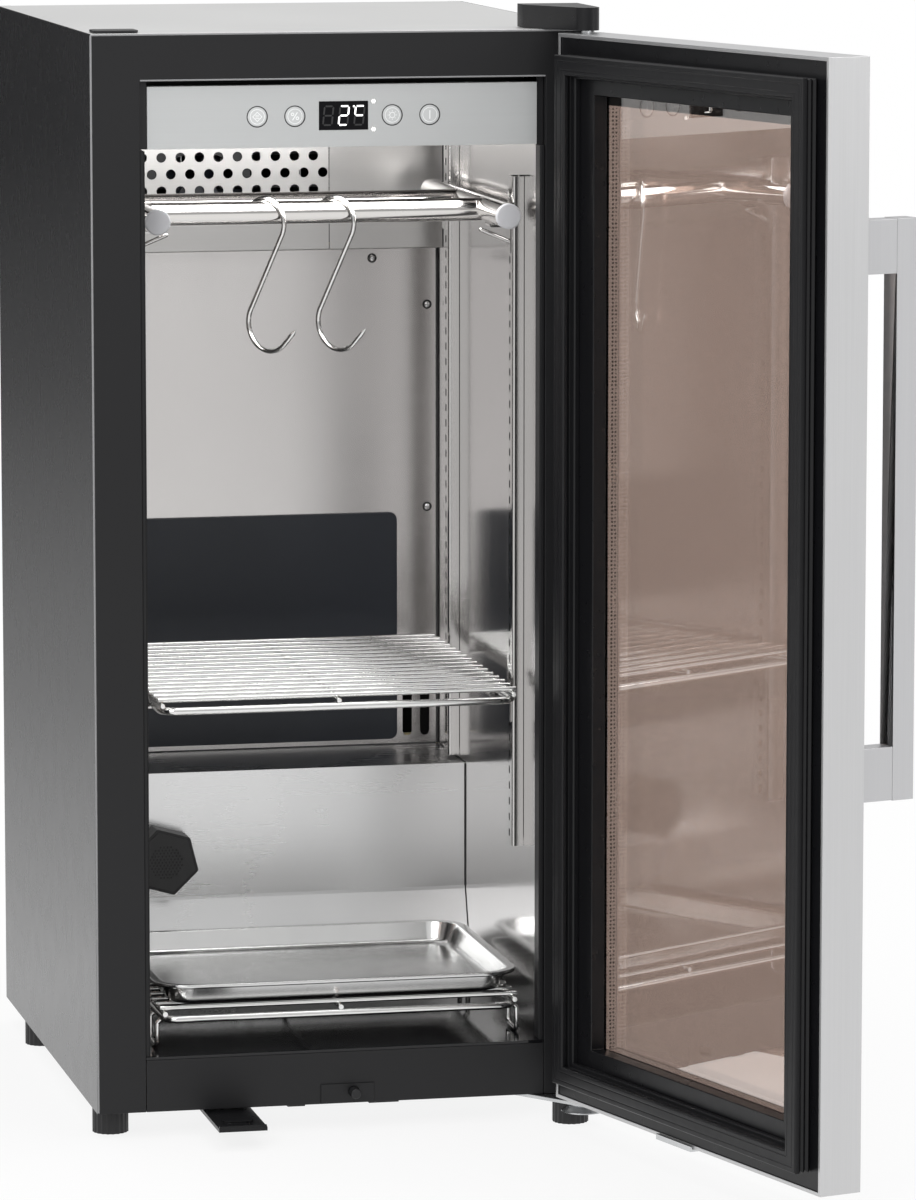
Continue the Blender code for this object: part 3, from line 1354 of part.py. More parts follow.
def glass_opening():
    """The clear opening of the inner frame: lower and upper corner."""
    low = (DOOR_FREE_X + GLASS_BORDER_SIDE, DOOR_BOTTOM + GLASS_BORDER_BOTTOM)
    high = (AXIS_FROM_SIDE - GLASS_BORDER_SIDE, DOOR_TOP - GLASS_BORDER_TOP)
    return low, high


def inner_frame_levels():
    """Back face and front face of the plastic inner frame, across the shut door."""
    face = DOOR_INNER - DOOR_SKIN - GAP
    return face - INNER_FRAME_THICK, face


def door_inner_frame():
    edge = DOOR_SKIN + GAP
    (low_x, low_z), (high_x, high_z) = glass_opening()
    outline = rectangle(DOOR_FREE_X + edge, DOOR_BOTTOM + edge, AXIS_FROM_SIDE - edge, DOOR_TOP - edge)
    opening = rectangle(low_x, low_z, high_x, high_z)
    back, face = inner_frame_levels()
    mesh = plate_mesh(outline, "XZ", back, face, [opening])
    piece = add_piece("door_inner_frame", mesh, BLACK_PLASTIC, parent=HINGE)
    half = BOSS_WIDTH / 2
    right = AXIS_FROM_SIDE - edge
    bosses = []
    for low in (DOOR_BOTTOM + edge, DOOR_TOP - edge - BOSS_HEIGHT):
        bosses.append(box((-half, -half, low), (right, back + OVERRUN, low + BOSS_HEIGHT)))
    add_tool(piece, shapes_mesh("hinge_bosses", bosses), "UNION")
    reach = PIN_REACH + OVERRUN
    holes = [
        rod((0, 0, DOOR_TOP + OVERRUN), (0, 0, DOOR_TOP - reach), PIN_RADIUS + GAP),
        rod((0, 0, DOOR_BOTTOM - OVERRUN), (0, 0, DOOR_BOTTOM + reach), PIN_RADIUS + GAP),
    ]
    add_tool(piece, shapes_mesh("hinge_boss_holes", holes), "DIFFERENCE")


def pane_levels():
    """Front and back of the outer pane, the spacer and the inner pane, across the shut door."""
    outer_front = DOOR_OUTER + WINDOW_RETURN + GAP
    outer_back = outer_front + PANE
    inner_back = inner_frame_levels()[0] - GAP
    inner_front = inner_back - PANE
    return outer_front, outer_back, inner_front, inner_back


def door_panes():
    outer_front, outer_back, inner_front, inner_back = pane_levels()
    (low_x, low_z), (high_x, high_z) = glass_opening()
    lap = PANE_LAP
    border = WINDOW_BORDER - lap
    outer = box(
        (DOOR_FREE_X + border, outer_front, DOOR_BOTTOM + border),
        (AXIS_FROM_SIDE - border, outer_back, DOOR_TOP - border),
    )
    inner = box((low_x - lap, inner_front, low_z - lap), (high_x + lap, inner_back, high_z + lap))
    add_piece("door_outer_pane", shapes_mesh("door_outer_pane", [outer]), GLASS, parent=HINGE)
    add_piece("door_inner_pane", shapes_mesh("door_inner_pane", [inner]), GLASS, parent=HINGE)


def glass_spacer():
    _, outer_back, inner_front, _ = pane_levels()
    (low_x, low_z), (high_x, high_z) = glass_opening()
    wide = SPACER_WIDTH
    near = outer_back + GAP
    far = inner_front - GAP
    profile = [(0, near), (wide, near), (wide, far), (0, far)]
    mesh = swept_ring_mesh((low_x - wide, low_z - wide), (high_x + wide, high_z + wide), profile, "XZ")
    add_piece("glass_spacer", mesh, ALUMINIUM, parent=HINGE)


def door_gasket():
    """A stepped ring: a flange in the door, a narrow bellows and a wide magnetic head that meets the frame."""
    _, face = inner_frame_levels()
    base = face + GAP
    head_top = AXIS_FROM_FACE - GASKET_CLEARANCE
    neck = GASKET_WIDTH * GASKET_NECK_SHARE
    low = (DOOR_FREE_X + GASKET_INSET, DOOR_BOTTOM + GASKET_INSET)
    high = (AXIS_FROM_SIDE - GASKET_INSET, DOOR_TOP - GASKET_INSET)
    profile = [
        (0, base),
        (GASKET_WIDTH, base),
        (GASKET_WIDTH, base + GASKET_FLANGE),
        (GASKET_WIDTH - neck, base + GASKET_FLANGE),
        (GASKET_WIDTH - neck, head_top - GASKET_HEAD),
        (GASKET_WIDTH - neck / 2, head_top - GASKET_HEAD),
        (GASKET_WIDTH - neck / 2, head_top),
        (0, head_top),
        (0, head_top - GASKET_HEAD),
        (neck, head_top - GASKET_HEAD),
        (neck, base + GASKET_FLANGE),
        (0, base + GASKET_FLANGE),
    ]
    add_piece("door_gasket", swept_ring_mesh(low, high, profile, "XZ"), RUBBER, parent=HINGE)


def door_handle():
    """A square bar on two arms, screwed to the door's face near its free edge."""
    low_x = DOOR_FREE_X + HANDLE_INSET
    high_x = low_x + HANDLE_SIDE
    top = DOOR_TOP - HANDLE_TOP_DROP
    bottom = top - HANDLE_LENGTH
    outer = DOOR_OUTER - HANDLE_STANDOFF
    bar_back = outer + HANDLE_SIDE
    foot = DOOR_OUTER - GAP
    arm = HANDLE_ARM_HEIGHT
    inset = WELD
    shapes = [
        box((low_x, outer, bottom), (high_x, bar_back, top)),
        box((low_x + inset, bar_back - OVERRUN, bottom + inset), (high_x - inset, foot, bottom + arm)),
        box((low_x + inset, bar_back - OVERRUN, top - arm), (high_x - inset, foot, top - inset)),
    ]
    fused("door_handle", shapes, ALUMINIUM, parent=HINGE)


def door_strike_plate():
    """An angle under the door's lower edge, where the push pin meets the door."""
    high_x = PUSH_PIN_X - AXIS_X + STRIKE_PAST_PIN
    low_x = high_x - STRIKE_LENGTH
    top = DOOR_BOTTOM - GAP
    back = DOOR_INNER + GAP + STRIKE_SHEET
    outline = rectangle(low_x, back - STRIKE_DEPTH, high_x, back)
    mesh = folded_mesh(outline, "XY", top - STRIKE_SHEET, {2: STRIKE_TAB})
    piece = add_piece("door_strike_plate", mesh, ZINC, parent=HINGE)
    thicken(piece, STRIKE_SHEET, (0, 0, 1))


# Foot pedal


def foot_pedal():
    """A flat plate with a turned-up front lip and a pressed oval, on a cross pin under the body."""
    low_x = PEDAL_X - PEDAL_WIDTH / 2
    high_x = PEDAL_X + PEDAL_WIDTH / 2
    top = -PEDAL_DROP
    bottom = top - PEDAL_THICK
    lip_back = PEDAL_LIP * 2 - PEDAL_FRONT
    dimple_y = PEDAL_DIMPLE_SETBACK - PEDAL_FRONT
    pivot_z = PEDAL_PIVOT.z
    half = PEDAL_DIMPLE_HALF
    radius = PEDAL_DIMPLE_RADIUS
    oval = rounded_rectangle(PEDAL_X - half, dimple_y - radius, PEDAL_X + half, dimple_y + radius, radius, 5)
    outline = rectangle(low_x, -PEDAL_FRONT, high_x, PEDAL_BACK)
    shapes = [
        plate(outline, "XY", bottom, top),
        box((low_x + WELD, -PEDAL_FRONT + WELD, bottom + WELD), (high_x - WELD, lip_back, top + PEDAL_LIP)),
        plate(oval, "XY", bottom + WELD, top + PEDAL_DIMPLE_HEIGHT),
        rod((low_x - LUG_THICK, PEDAL_BACK, pivot_z), (high_x + LUG_THICK, PEDAL_BACK, pivot_z), PIVOT_RADIUS),
    ]
    fused("foot_pedal", shapes, BLACK_PLASTIC, pivot=PEDAL_PIVOT)


def push_pin():
    start = (PUSH_PIN_X, -PUSH_PIN_TIP, PUSH_PIN_Z)
    end = (PUSH_PIN_X, PUSH_PIN_TAIL, PUSH_PIN_Z)
    mesh = shapes_mesh("push_pin", [rod(start, end, PUSH_PIN_RADIUS)])
    add_piece("push_pin", mesh, BLACK_PLASTIC, pivot=start, smooth=True)


# Feet


def foot_outline(x, y):
    """A ring of ribs: two points on each rib and two in each groove."""
    points = []
    steps = FOOT_RIBS * 2
    for step in range(steps):
        radius = FOOT_RADIUS if step % 2 == 0 else FOOT_RADIUS - FOOT_RIB_DEPTH
        angle = math.tau * step / steps
        points.append((x + radius * math.cos(angle), y + radius * math.sin(angle)))
    return points


def feet():
    for name, (x, y) in FOOT_PLACES.items():
        under_bracket = name == "foot_front_right"
        top = -GAP - (HINGE_PLATE + GAP if under_bracket else 0)
        stud_top = -GAP if under_bracket else FOOT_STUD
        shapes = [
            plate(foot_outline(x, y), "XY", -FOOT_HEIGHT, top),
            rod((x, y, top - OVERRUN), (x, y, stud_top), FOOT_STUD_RADIUS),
        ]
        fused(name, shapes, BLACK_PLASTIC, pivot=(x, y, -FOOT_HEIGHT))


# Cooling circuit


def compressor():
    """A domed hermetic shell on a plate with four rubber-footed corners."""
    floor = SKIN + GAP
    plate_low = floor + COMPRESSOR_FOOT
    plate_high = plate_low + COMPRESSOR_PLATE
    x, y = COMPRESSOR_X, COMPRESSOR_Y
    radius = COMPRESSOR_RADIUS
    dome = radius / 3
    shell_low = plate_high - WELD
    shapes = [
        rod((x, y, shell_low), (x, y, shell_low + dome), radius - dome, ROUND, radius),
        rod((x, y, shell_low + dome - WELD), (x, y, COMPRESSOR_TOP - dome + WELD), radius - WELD, ROUND),
        rod((x, y, COMPRESSOR_TOP - dome), (x, y, COMPRESSOR_TOP), radius, ROUND, radius - dome),
        box((x - radius, y - radius, plate_low), (x + radius, y + radius, plate_high)),
    ]
    inset = radius - COMPRESSOR_FOOT
    for side in (-1, 1):
        for end in (-1, 1):
            foot_x = x + side * inset
            foot_y = y + end * inset
            top = plate_low + WELD
            shapes.append(rod((foot_x, foot_y, floor), (foot_x, foot_y, top), COMPRESSOR_FOOT / 2))
    fused("compressor", shapes, BLACK_ENAMEL)


def serpentine(low, size, passes):
    """Route of a coil's tube: level passes joined by round bends at both ends."""
    x_low, y_low, z_low = low
    pitch = size[2] / passes
    bend = pitch / 2
    y = y_low + size[1] / 2
    left = x_low + bend
    right = x_low + size[0] - bend
    route = []
    for index in range(passes):
        z = z_low + bend + pitch * index
        ends = (left, right) if index % 2 == 0 else (right, left)
        route.append((ends[0], y, z))
        if index == passes - 1:
            route.append((ends[1], y, z))
            break
        way = 1 if index % 2 == 0 else -1
        for a, b in arc((ends[1], z + bend), bend, -math.pi / 2, math.pi / 2, 4):
            route.append((ends[1] + way * (a - ends[1]), y, b))
    return route


def finned_coil(name, low, size, passes, tail, finish):
    """A serpentine tube through upright fins, with the line that leaves it."""
    route = serpentine(low, size, passes)
    shapes = [tube(route, COIL_TUBE_RADIUS, detail=1)]
    bend = size[2] / passes / 2
    first = low[0] + bend
    room = size[0] - bend * 2
    for index in range(FIN_COUNT):
        x = first + room * (index + 1) / (FIN_COUNT + 1)
        fin_low = (x - FIN_SHEET / 2, low[1], low[2])
        fin_high = (x + FIN_SHEET / 2, low[1] + size[1], low[2] + size[2])
        shapes.append(box(fin_low, fin_high))
    shapes.append(tube(tail, LINE_RADIUS, detail=1))
    fused(name, shapes, finish)


def evaporator_coil():
    """The cold coil behind its cover, with the line that drops through the foam to the compressor."""
    x_low, y_low, z_low = COOLER_LOW
    bend = COOLER_SIZE[2] / COOLER_PASSES / 2
    start_x = x_low + bend
    y = y_low + COOLER_SIZE[1] / 2
    line_x = x_low + COOLER_SIZE[0] + LINE_RADIUS * 2
    top = z_low + COOLER_SIZE[2] - bend
    shell_x = COMPRESSOR_X + COMPRESSOR_RADIUS + GAP
    bay_z = BAY_TOP - LINE_RADIUS * 5
    turn_x = shell_x + LINE_RADIUS * 4
    port_z = COMPRESSOR_TOP / 2
    tail = [
        (start_x + WELD, y, top),
        (start_x - LINE_RADIUS * 2, y, top),
        (start_x - LINE_RADIUS * 4, y, top + LINE_RADIUS * 2),
        (start_x - LINE_RADIUS * 4, y, z_low + COOLER_SIZE[2] + LINE_RADIUS * 2),
        (start_x - LINE_RADIUS * 2, y, z_low + COOLER_SIZE[2] + LINE_RADIUS * 4),
        (line_x - LINE_RADIUS * 3, y, z_low + COOLER_SIZE[2] + LINE_RADIUS * 4),
        (line_x, y, z_low + COOLER_SIZE[2] + LINE_RADIUS),
        (line_x, y, bay_z + LINE_RADIUS * 3),
        (line_x - LINE_RADIUS * 3, y, bay_z),
        (turn_x + LINE_RADIUS * 3, y, bay_z),
        (turn_x, y, bay_z - LINE_RADIUS * 3),
        (turn_x, COMPRESSOR_Y, port_z + LINE_RADIUS * 3),
        (turn_x - LINE_RADIUS * 2, COMPRESSOR_Y, port_z),
        (shell_x, COMPRESSOR_Y, port_z),
    ]
    finned_coil("evaporator_coil", COOLER_LOW, COOLER_SIZE, COOLER_PASSES, tail, ALUMINIUM)


def condenser_coil():
    """The warm coil in the bay, with the short line to the compressor's lower port."""
    x_low, y_low, z_low = CONDENSER_LOW
    bend = CONDENSER_SIZE[2] / CONDENSER_PASSES / 2
    y = y_low + CONDENSER_SIZE[1] / 2
    z = z_low + bend
    shell_x = COMPRESSOR_X + COMPRESSOR_RADIUS + GAP
    tail = [
        (x_low + bend + WELD, y, z),
        (x_low, y, z),
        (x_low - LINE_RADIUS * 3, y + LINE_RADIUS * 3, z),
        (x_low - LINE_RADIUS * 3, COMPRESSOR_Y - LINE_RADIUS * 3, z + LINE_RADIUS * 3),
        (x_low - LINE_RADIUS * 6, COMPRESSOR_Y, z + LINE_RADIUS * 3),
        (shell_x, COMPRESSOR_Y, z + LINE_RADIUS * 3),
    ]
    finned_coil("condenser_coil", CONDENSER_LOW, CONDENSER_SIZE, CONDENSER_PASSES, tail, BLACK_ENAMEL)


def fan_housing(name, centre, side):
    """A square frame with a round mouth and three struts that hold the motor cup."""
    x, y, z = centre
    half = side / 2
    mouth = half - FAN_WALL
    front = y - FAN_DEPTH / 2
    back = y + FAN_DEPTH / 2
    hub = side * FAN_HUB_SHARE
    outline = rounded_rectangle(x - half, z - half, x + half, z + half, FAN_WALL * 2)
    cup_front = back - FAN_WALL
    shapes = [
        plate(outline, "XZ", front, back, [circle((x, z), mouth, ROUND)]),
        rod((x, cup_front, z), (x, back - WELD, z), hub, ROUND),
    ]
    for index in range(3):
        angle = math.tau * index / 3 + math.pi / 2
        reach = mouth + FAN_WALL / 2
        end = (x + reach * math.cos(angle), back - FAN_WALL / 2, z + reach * math.sin(angle))
        shapes.append(rod((x, back - FAN_WALL / 2, z), end, FAN_WALL / 2 - WELD, 6))
    fused(name, shapes, BLACK_PLASTIC)


def fan_rotor(name, centre, side):
    """A hub with pitched blades, just in front of the motor cup."""
    x, y, z = centre
    hub = side * FAN_HUB_SHARE
    tip = side / 2 - FAN_WALL * 2
    front = y - FAN_DEPTH / 2 + FAN_WALL
    back = y + FAN_DEPTH / 2 - FAN_WALL - GAP
    shapes = [rod((x, front, z), (x, back, z), hub, ROUND)]
    for index in range(FAN_BLADES):
        shapes.append(blade(Vector(centre), hub, tip, math.tau * index / FAN_BLADES))
    fused(name, shapes, DARK_PANEL, pivot=centre)


def blade(centre, hub, tip, angle):
    """A flat pitched paddle that reaches from inside the hub to the tip."""

    def draw(bm):
        length = tip - hub / 2
        width = hub
        size = (length, FAN_SHEET, width)
        out = Matrix.Translation((hub / 2 + length / 2, 0, 0))
        pitch = Matrix.Rotation(BLADE_PITCH, 4, "X")
        around = Matrix.Rotation(angle, 4, "Y")
        matrix = Matrix.Translation(centre) @ around @ out @ pitch @ Matrix.Diagonal((*size, 1))
        bmesh.ops.create_cube(bm, size=1, matrix=matrix)

    return draw


def condenser_fan_centre():
    back = CONDENSER_LOW[1] + CONDENSER_SIZE[1]
    z = SKIN + GAP + CONDENSER_FAN_SIDE / 2
    return (CONDENSER_LOW[0] + CONDENSER_SIZE[0] / 2, back + GAP + FAN_DEPTH / 2, z)


def cooler_fan_centre():
    x = HOLE_FIRST_X + HOLE_PITCH * (HOLE_COLUMNS - 1) / 2
    y = EVAPORATOR_FACE + LINER + GAP + FAN_DEPTH / 2
    z = EVAPORATOR_SILL + LINER + GAP + COOLER_FAN_SIDE / 2
    return (x, y, z)


def fans():
    fan_housing("condenser_fan_housing", condenser_fan_centre(), CONDENSER_FAN_SIDE)
    fan_rotor("condenser_fan_rotor", condenser_fan_centre(), CONDENSER_FAN_SIDE)
    fan_housing("evaporator_fan_housing", cooler_fan_centre(), COOLER_FAN_SIDE)
    fan_rotor("evaporator_fan_rotor", cooler_fan_centre(), COOLER_FAN_SIDE)


def evaporation_pan():
    """The open pan on top of the compressor that dries up the melt water."""
    bottom = COMPRESSOR_TOP + GAP
    low = (COMPRESSOR_X - PAN_WIDTH / 2, COMPRESSOR_Y - PAN_LENGTH / 2, bottom)
    high = (COMPRESSOR_X + PAN_WIDTH / 2, COMPRESSOR_Y + PAN_LENGTH / 2, bottom + PAN_HEIGHT)
    piece = add_piece("evaporation_pan", shapes_mesh("evaporation_pan", [box(low, high)]), BLACK_PLASTIC)
    wall = Vector((PAN_WALL, PAN_WALL, PAN_WALL))
    inner_high = Vector(high) - wall + Vector((0, 0, PAN_WALL + OVERRUN))
    add_tool(piece, shapes_mesh("pan_inside", [box(Vector(low) + wall, inner_high)]), "DIFFERENCE")


def power_cable_gland():
    """The bushing in the rear panel that the mains lead leaves through."""
    seat = REAR_INNER + SKIN + GAP
    flange = BODY_DEPTH + GLAND_FLANGE - seat
    depth = flange + GLAND_LENGTH
    profile = [
        (GLAND_BORE, 0),
        (GLAND_RADIUS, 0),
        (GLAND_RADIUS, -flange),
        (GLAND_NECK, -flange),
        (GLAND_NECK, -depth),
        (GLAND_BORE, -depth),
        (GLAND_BORE, 0),
    ]
    place = (GLAND_X, seat + flange, GLAND_Z)
    turned("power_cable_gland", profile, BLACK_PLASTIC, pivot=place, turn=(-math.pi / 2, 0, 0))


def build():
    side_panels()
    top_panel()
    rear_panel()
    base_pan()
    insulation_foam()
    front_frame()
    plinth_panel()
    pin_access_cover()
    cavity_liner()
    cavity_rear_panel()
    evaporator_cover()
    step_liner()
    cavity_floor()
    air_duct_panel()
    shelf_rails()
    wire_shelf()
    bottom_rack()
    drip_tray()
    hanging_frame()
    hooks()
    charcoal_filter()
    control_housing()
    control_fascia()
    control_buttons()
    control_board()
    hinge_bracket_top()
    hinge_cover()
    hinge_bracket_bottom()
    hinge_hole_cover()
    door_skin()
    door_inner_frame()
    door_panes()
    glass_spacer()
    door_gasket()
    door_handle()
    door_strike_plate()
    foot_pedal()
    push_pin()
    feet()
    compressor()
    condenser_coil()
    evaporator_coil()
    fans()
    evaporation_pan()
    power_cable_gland()


clear_scene()
PARTS = new_collection("dry_aging_cabinet")
TOOLS = new_collection("cutters")
TOOLS.hide_render = True

PAINT = new_material("black_paint", (0.035, 0.035, 0.037), 0.38, 0.1)
TOP_STEEL = new_material("top_steel", (0.62, 0.62, 0.61), 0.35, 0.6)
GALVANISED = new_material("galvanised", (0.45, 0.46, 0.47), 0.45, 0.9)
STAINLESS = new_material("stainless", (0.60, 0.58, 0.57), 0.25, 1.0)
STEEL_BRUSHED = new_material("brushed_steel", (0.60, 0.60, 0.60), 0.35, 0.9)
SILVER_PAINT = new_material("silver_paint", (0.56, 0.57, 0.57), 0.4, 0.3)
BLACK_PLASTIC = new_material("black_plastic", (0.02, 0.02, 0.021), 0.5)
BLACK_GLOSS = new_material("black_gloss", (0.01, 0.01, 0.011), 0.15)
DARK_PANEL = new_material("dark_panel", (0.03, 0.035, 0.045), 0.45)
BLACK_ENAMEL = new_material("black_enamel", (0.02, 0.02, 0.02), 0.3)
RUBBER = new_material("gasket_rubber", (0.025, 0.025, 0.026), 0.6)
GLASS = new_material("bronze_glass", (0.30, 0.22, 0.18), 0.05, 0.0, 0.45)
ALUMINIUM = new_material("aluminium", (0.60, 0.60, 0.61), 0.3, 1.0)
ZINC = new_material("zinc", (0.55, 0.56, 0.57), 0.35, 1.0)
FOAM = new_material("foam", (0.75, 0.66, 0.42), 0.9)

DATUM = new_empty("cabinet_datum", (-ORIGIN_X, -ORIGIN_Y, FOOT_HEIGHT))
HINGE = new_empty("door_hinge", (AXIS_X, -AXIS_FROM_FACE, 0), DATUM)
HINGE.rotation_euler = (0, 0, DOOR_OPEN)
build()
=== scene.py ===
"""Looks of the dry aging cabinet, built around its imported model.

Lengths are in millimetres. Cabinet pieces are measured from the lower left front corner of the body: X to
the right, Y to the back, Z up. Door pieces are measured from the hinge axis with the door shut: X along the
door, Y through it from outside to inside, Z up.
"""

import json
import math

import bmesh
import bpy
from mathutils import Matrix, Vector

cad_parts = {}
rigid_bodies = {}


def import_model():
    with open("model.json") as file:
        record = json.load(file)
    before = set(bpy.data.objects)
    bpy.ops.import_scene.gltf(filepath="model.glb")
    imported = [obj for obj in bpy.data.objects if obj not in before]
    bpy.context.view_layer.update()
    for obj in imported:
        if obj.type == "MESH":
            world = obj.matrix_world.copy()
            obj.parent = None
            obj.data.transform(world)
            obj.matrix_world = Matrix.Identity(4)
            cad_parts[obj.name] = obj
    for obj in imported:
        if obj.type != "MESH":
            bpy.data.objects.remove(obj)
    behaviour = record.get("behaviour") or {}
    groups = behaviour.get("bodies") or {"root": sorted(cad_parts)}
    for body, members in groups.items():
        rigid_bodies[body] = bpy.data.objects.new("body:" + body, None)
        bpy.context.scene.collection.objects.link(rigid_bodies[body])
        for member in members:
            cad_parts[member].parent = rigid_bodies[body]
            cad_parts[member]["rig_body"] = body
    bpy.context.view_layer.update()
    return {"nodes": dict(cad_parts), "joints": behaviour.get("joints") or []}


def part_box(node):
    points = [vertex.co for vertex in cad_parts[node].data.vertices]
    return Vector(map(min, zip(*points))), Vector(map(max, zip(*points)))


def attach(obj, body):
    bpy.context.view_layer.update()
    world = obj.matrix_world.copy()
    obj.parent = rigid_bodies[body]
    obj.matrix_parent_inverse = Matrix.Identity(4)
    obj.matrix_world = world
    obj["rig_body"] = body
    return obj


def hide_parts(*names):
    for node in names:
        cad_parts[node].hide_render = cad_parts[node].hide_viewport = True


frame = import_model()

MM = 0.001
MERGE = 0.002
MERGE_METRES = 5e-6
DOOR_OPEN = math.radians(106)
DATUM = Vector(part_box("side_panel_left")[0])
HINGE = next(Vector(joint["pos_m"]) for joint in frame["joints"] if joint["name"] == "door_swing")
DOOR_AXIS = Matrix.Translation((HINGE.x, HINGE.y, DATUM.z)) @ Matrix.Rotation(DOOR_OPEN, 4, "Z")
CABINET = Matrix.Translation(DATUM) @ Matrix.Scale(MM, 4)
DOOR = DOOR_AXIS @ Matrix.Scale(MM, 4)


def extent(node):
    """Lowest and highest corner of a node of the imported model, in cabinet millimetres."""
    return [(Vector(corner) - DATUM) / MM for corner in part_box(node)]


# Body and cavity
BODY_WIDTH = 395
BODY_HEIGHT = 838
OPENING_LEFT = 38.5
OPENING_RIGHT = 356.5
OPENING_TOP = 802
WALLS = ((OPENING_LEFT, 1), (OPENING_RIGHT, -1))
PLINTH_TOP = 41.3
GAP = 0.3
REAR_WALL_Y = 392
STEP_FRONT_Y = 286
LEDGE_TOP = 219
SILL_Z = 640
FOAM_BACK_Y = 409
POCKET_BACK_Y = 432.5
HOUSING_BOTTOM = 749
SHEET = 0.6
PAINTED_SHADE_WALL = 0.4
REAR_SCREWS = ((300.5, 629.4), (347.3, 590), (347.2, 420))
BACK_SCREW_Z = (24, 190, 400, 610, 820)

# Evaporator cover
COVER_SEAM_X = 259
COVER_HOLE_RADIUS = 4.1
COVER_HOLE_PITCH = 15.9
COVER_ROW_PITCH = 13.8
COVER_FIRST_HOLE = (55, 675.9)
COVER_ROWS = 4
COVER_COLUMNS = 13

# Rails and clips
RAIL_DEPTH = 9
FRONT_RAIL_TOP = 719
RAIL_SHEET = 1.0
RAIL_PITCH = 12.7
RAIL_SLOT = (3.6, 6.4)
CLIP_SHEET = 1.5
CLIP_WIDTH = 15
CLIP_REACH = 18
CLIP_HEIGHT = 22
CLIP_SEATS = (680.7, 307.7)
TONGUE_Y = 79
TONGUE_RADIUS = 1.7

# Wire goods and tray
WIRE_LEFT = 57.5
WIRE_RIGHT = 337.5
FRAME_WIRE = 3
THIN_WIRE = 2
WELD = 0.4
WIRE_PITCH = 20
WIRE_INSET = 6
WIRE_CORNER = 12
SHELF_Z = 311
RACK_Z = 68
RACK_FLOOR = 43.6
LEG_OUT = 4.5
LEG_LENGTH = 30
TRAY_SHEET = 0.8
TRAY_CORNER = 30

# Hanging frame and hooks
TUBE_Z = 690.5
TUBE_RADIUS = 9.5
CROSS_RADIUS = 9.2
CAP_RADIUS = 10
TUBE_X = (58.8, 336.2)
TUBE_Y = (40, 322)
CROSS_Y = (118, 209)
HOOK_X = {"left": 158, "right": 214}
HOOK_WIRE = 2
HOOK_UPPER = 19.5
HOOK_LOWER = 22
HOOK_DROP = 79
HOOK_SHIFT = 4
HOOK_TIP = 17
HOOK_TURN = math.radians(-52)
HOOK_POINT = math.radians(-45)

# Charcoal filter
FILTER_X = 101
FILTER_Z = 149
FILTER_SIDE = 28.6
FILTER_DEPTH = 23
FILTER_TILT = math.radians(-16)
FILTER_GRILLE = 14.4
FILTER_HOLE = 0.85
FILTER_PITCH = 2.9

# Control panel
FASCIA_Y = 6
KEY_Z = 773
KEY_RADIUS = 7.5
KEY_FRONT_Y = 5.6
KEY_X = {"mode": 130.7, "humidity": 160.1, "light": 236.4, "power": 266.0}
PRINT = 0.08
DISPLAY_FRONT_Y = 5.7
DIGIT_X = (182.0, 194.2, 206.4)
DIGIT_Z = 765.9
DIGIT_WIDTH = 6.9
DIGIT_HEIGHT = 14.4
DIGIT_SLANT = 0.1
LAMP_X = 221.7
LAMP_Z = (762.3, 783.8)

# Door, shut, about its hinge axis
WINDOW_LEFT = -327
WINDOW_RIGHT = -40
WINDOW_TOP = 791
GASKET_LOW = (-365.5, 17.5)
GASKET_HIGH = (-1.5, 820.5)
PANE_BACK_Y = -0.4
AXIS = (381, -31)
FOOT = (375, -12)
FOOT_CLEARANCE = 15.4

# Studio
CAVITY_LAMP = (197, 80, 744)
CAVITY_TARGET = (197, 260, 300)
CAVITY_WATTS = 0.55
SIDE_BOARD = [(0, 1.0), (0.033, 0.85), (0.159, 0.45), (0.348, 0.12), (0.507, 0.015), (1, 0.02)]
SKY = [(0.0, 0.75), (0.46, 0.62), (0.54, 0.42), (0.75, 0.8), (1.0, 1.0)]


# Shader sockets

class Value:
    """An output of a shader node that takes part in arithmetic."""

    def __init__(self, tree, output):
        self.tree = tree
        self.output = output

    def math(self, operation, *others):
        """Adds a Math node that works on this value and others."""
        return add(self.tree, "ShaderNodeMath", dict(enumerate((self, *others))), operation=operation)

    def __add__(self, other):
        return self.math("ADD", other)

    def __mul__(self, other):
        return self.math("MULTIPLY", other)

    def __sub__(self, other):
        return self.math("SUBTRACT", other)


def add(tree, kind, values=None, output=0, **settings):
    """Adds a node with its settings and the values or links of its inputs. Returns one of its outputs."""
    node = tree.nodes.new(kind)
    for name, setting in settings.items():
        if name == "stops":
            set_stops(node.color_ramp, setting)
        else:
            setattr(node, name, setting)
    for key, value in (values or {}).items():
        feed(tree, node.inputs[key], value)
    return Value(tree, node.outputs[output]) if node.outputs else None


def set_stops(ramp, stops):
    """Gives a colour ramp its stops, each a position and a grey."""
    while len(ramp.elements) < len(stops):
        ramp.elements.new(1)
    for element, (position, grey) in zip(ramp.elements, stops):
        element.position = position
        element.color = (grey, grey, grey, 1)


def feed(tree, socket, value):
    if isinstance(value, Value):
        tree.links.new(value.output, socket)
    else:
        socket.default_value = value


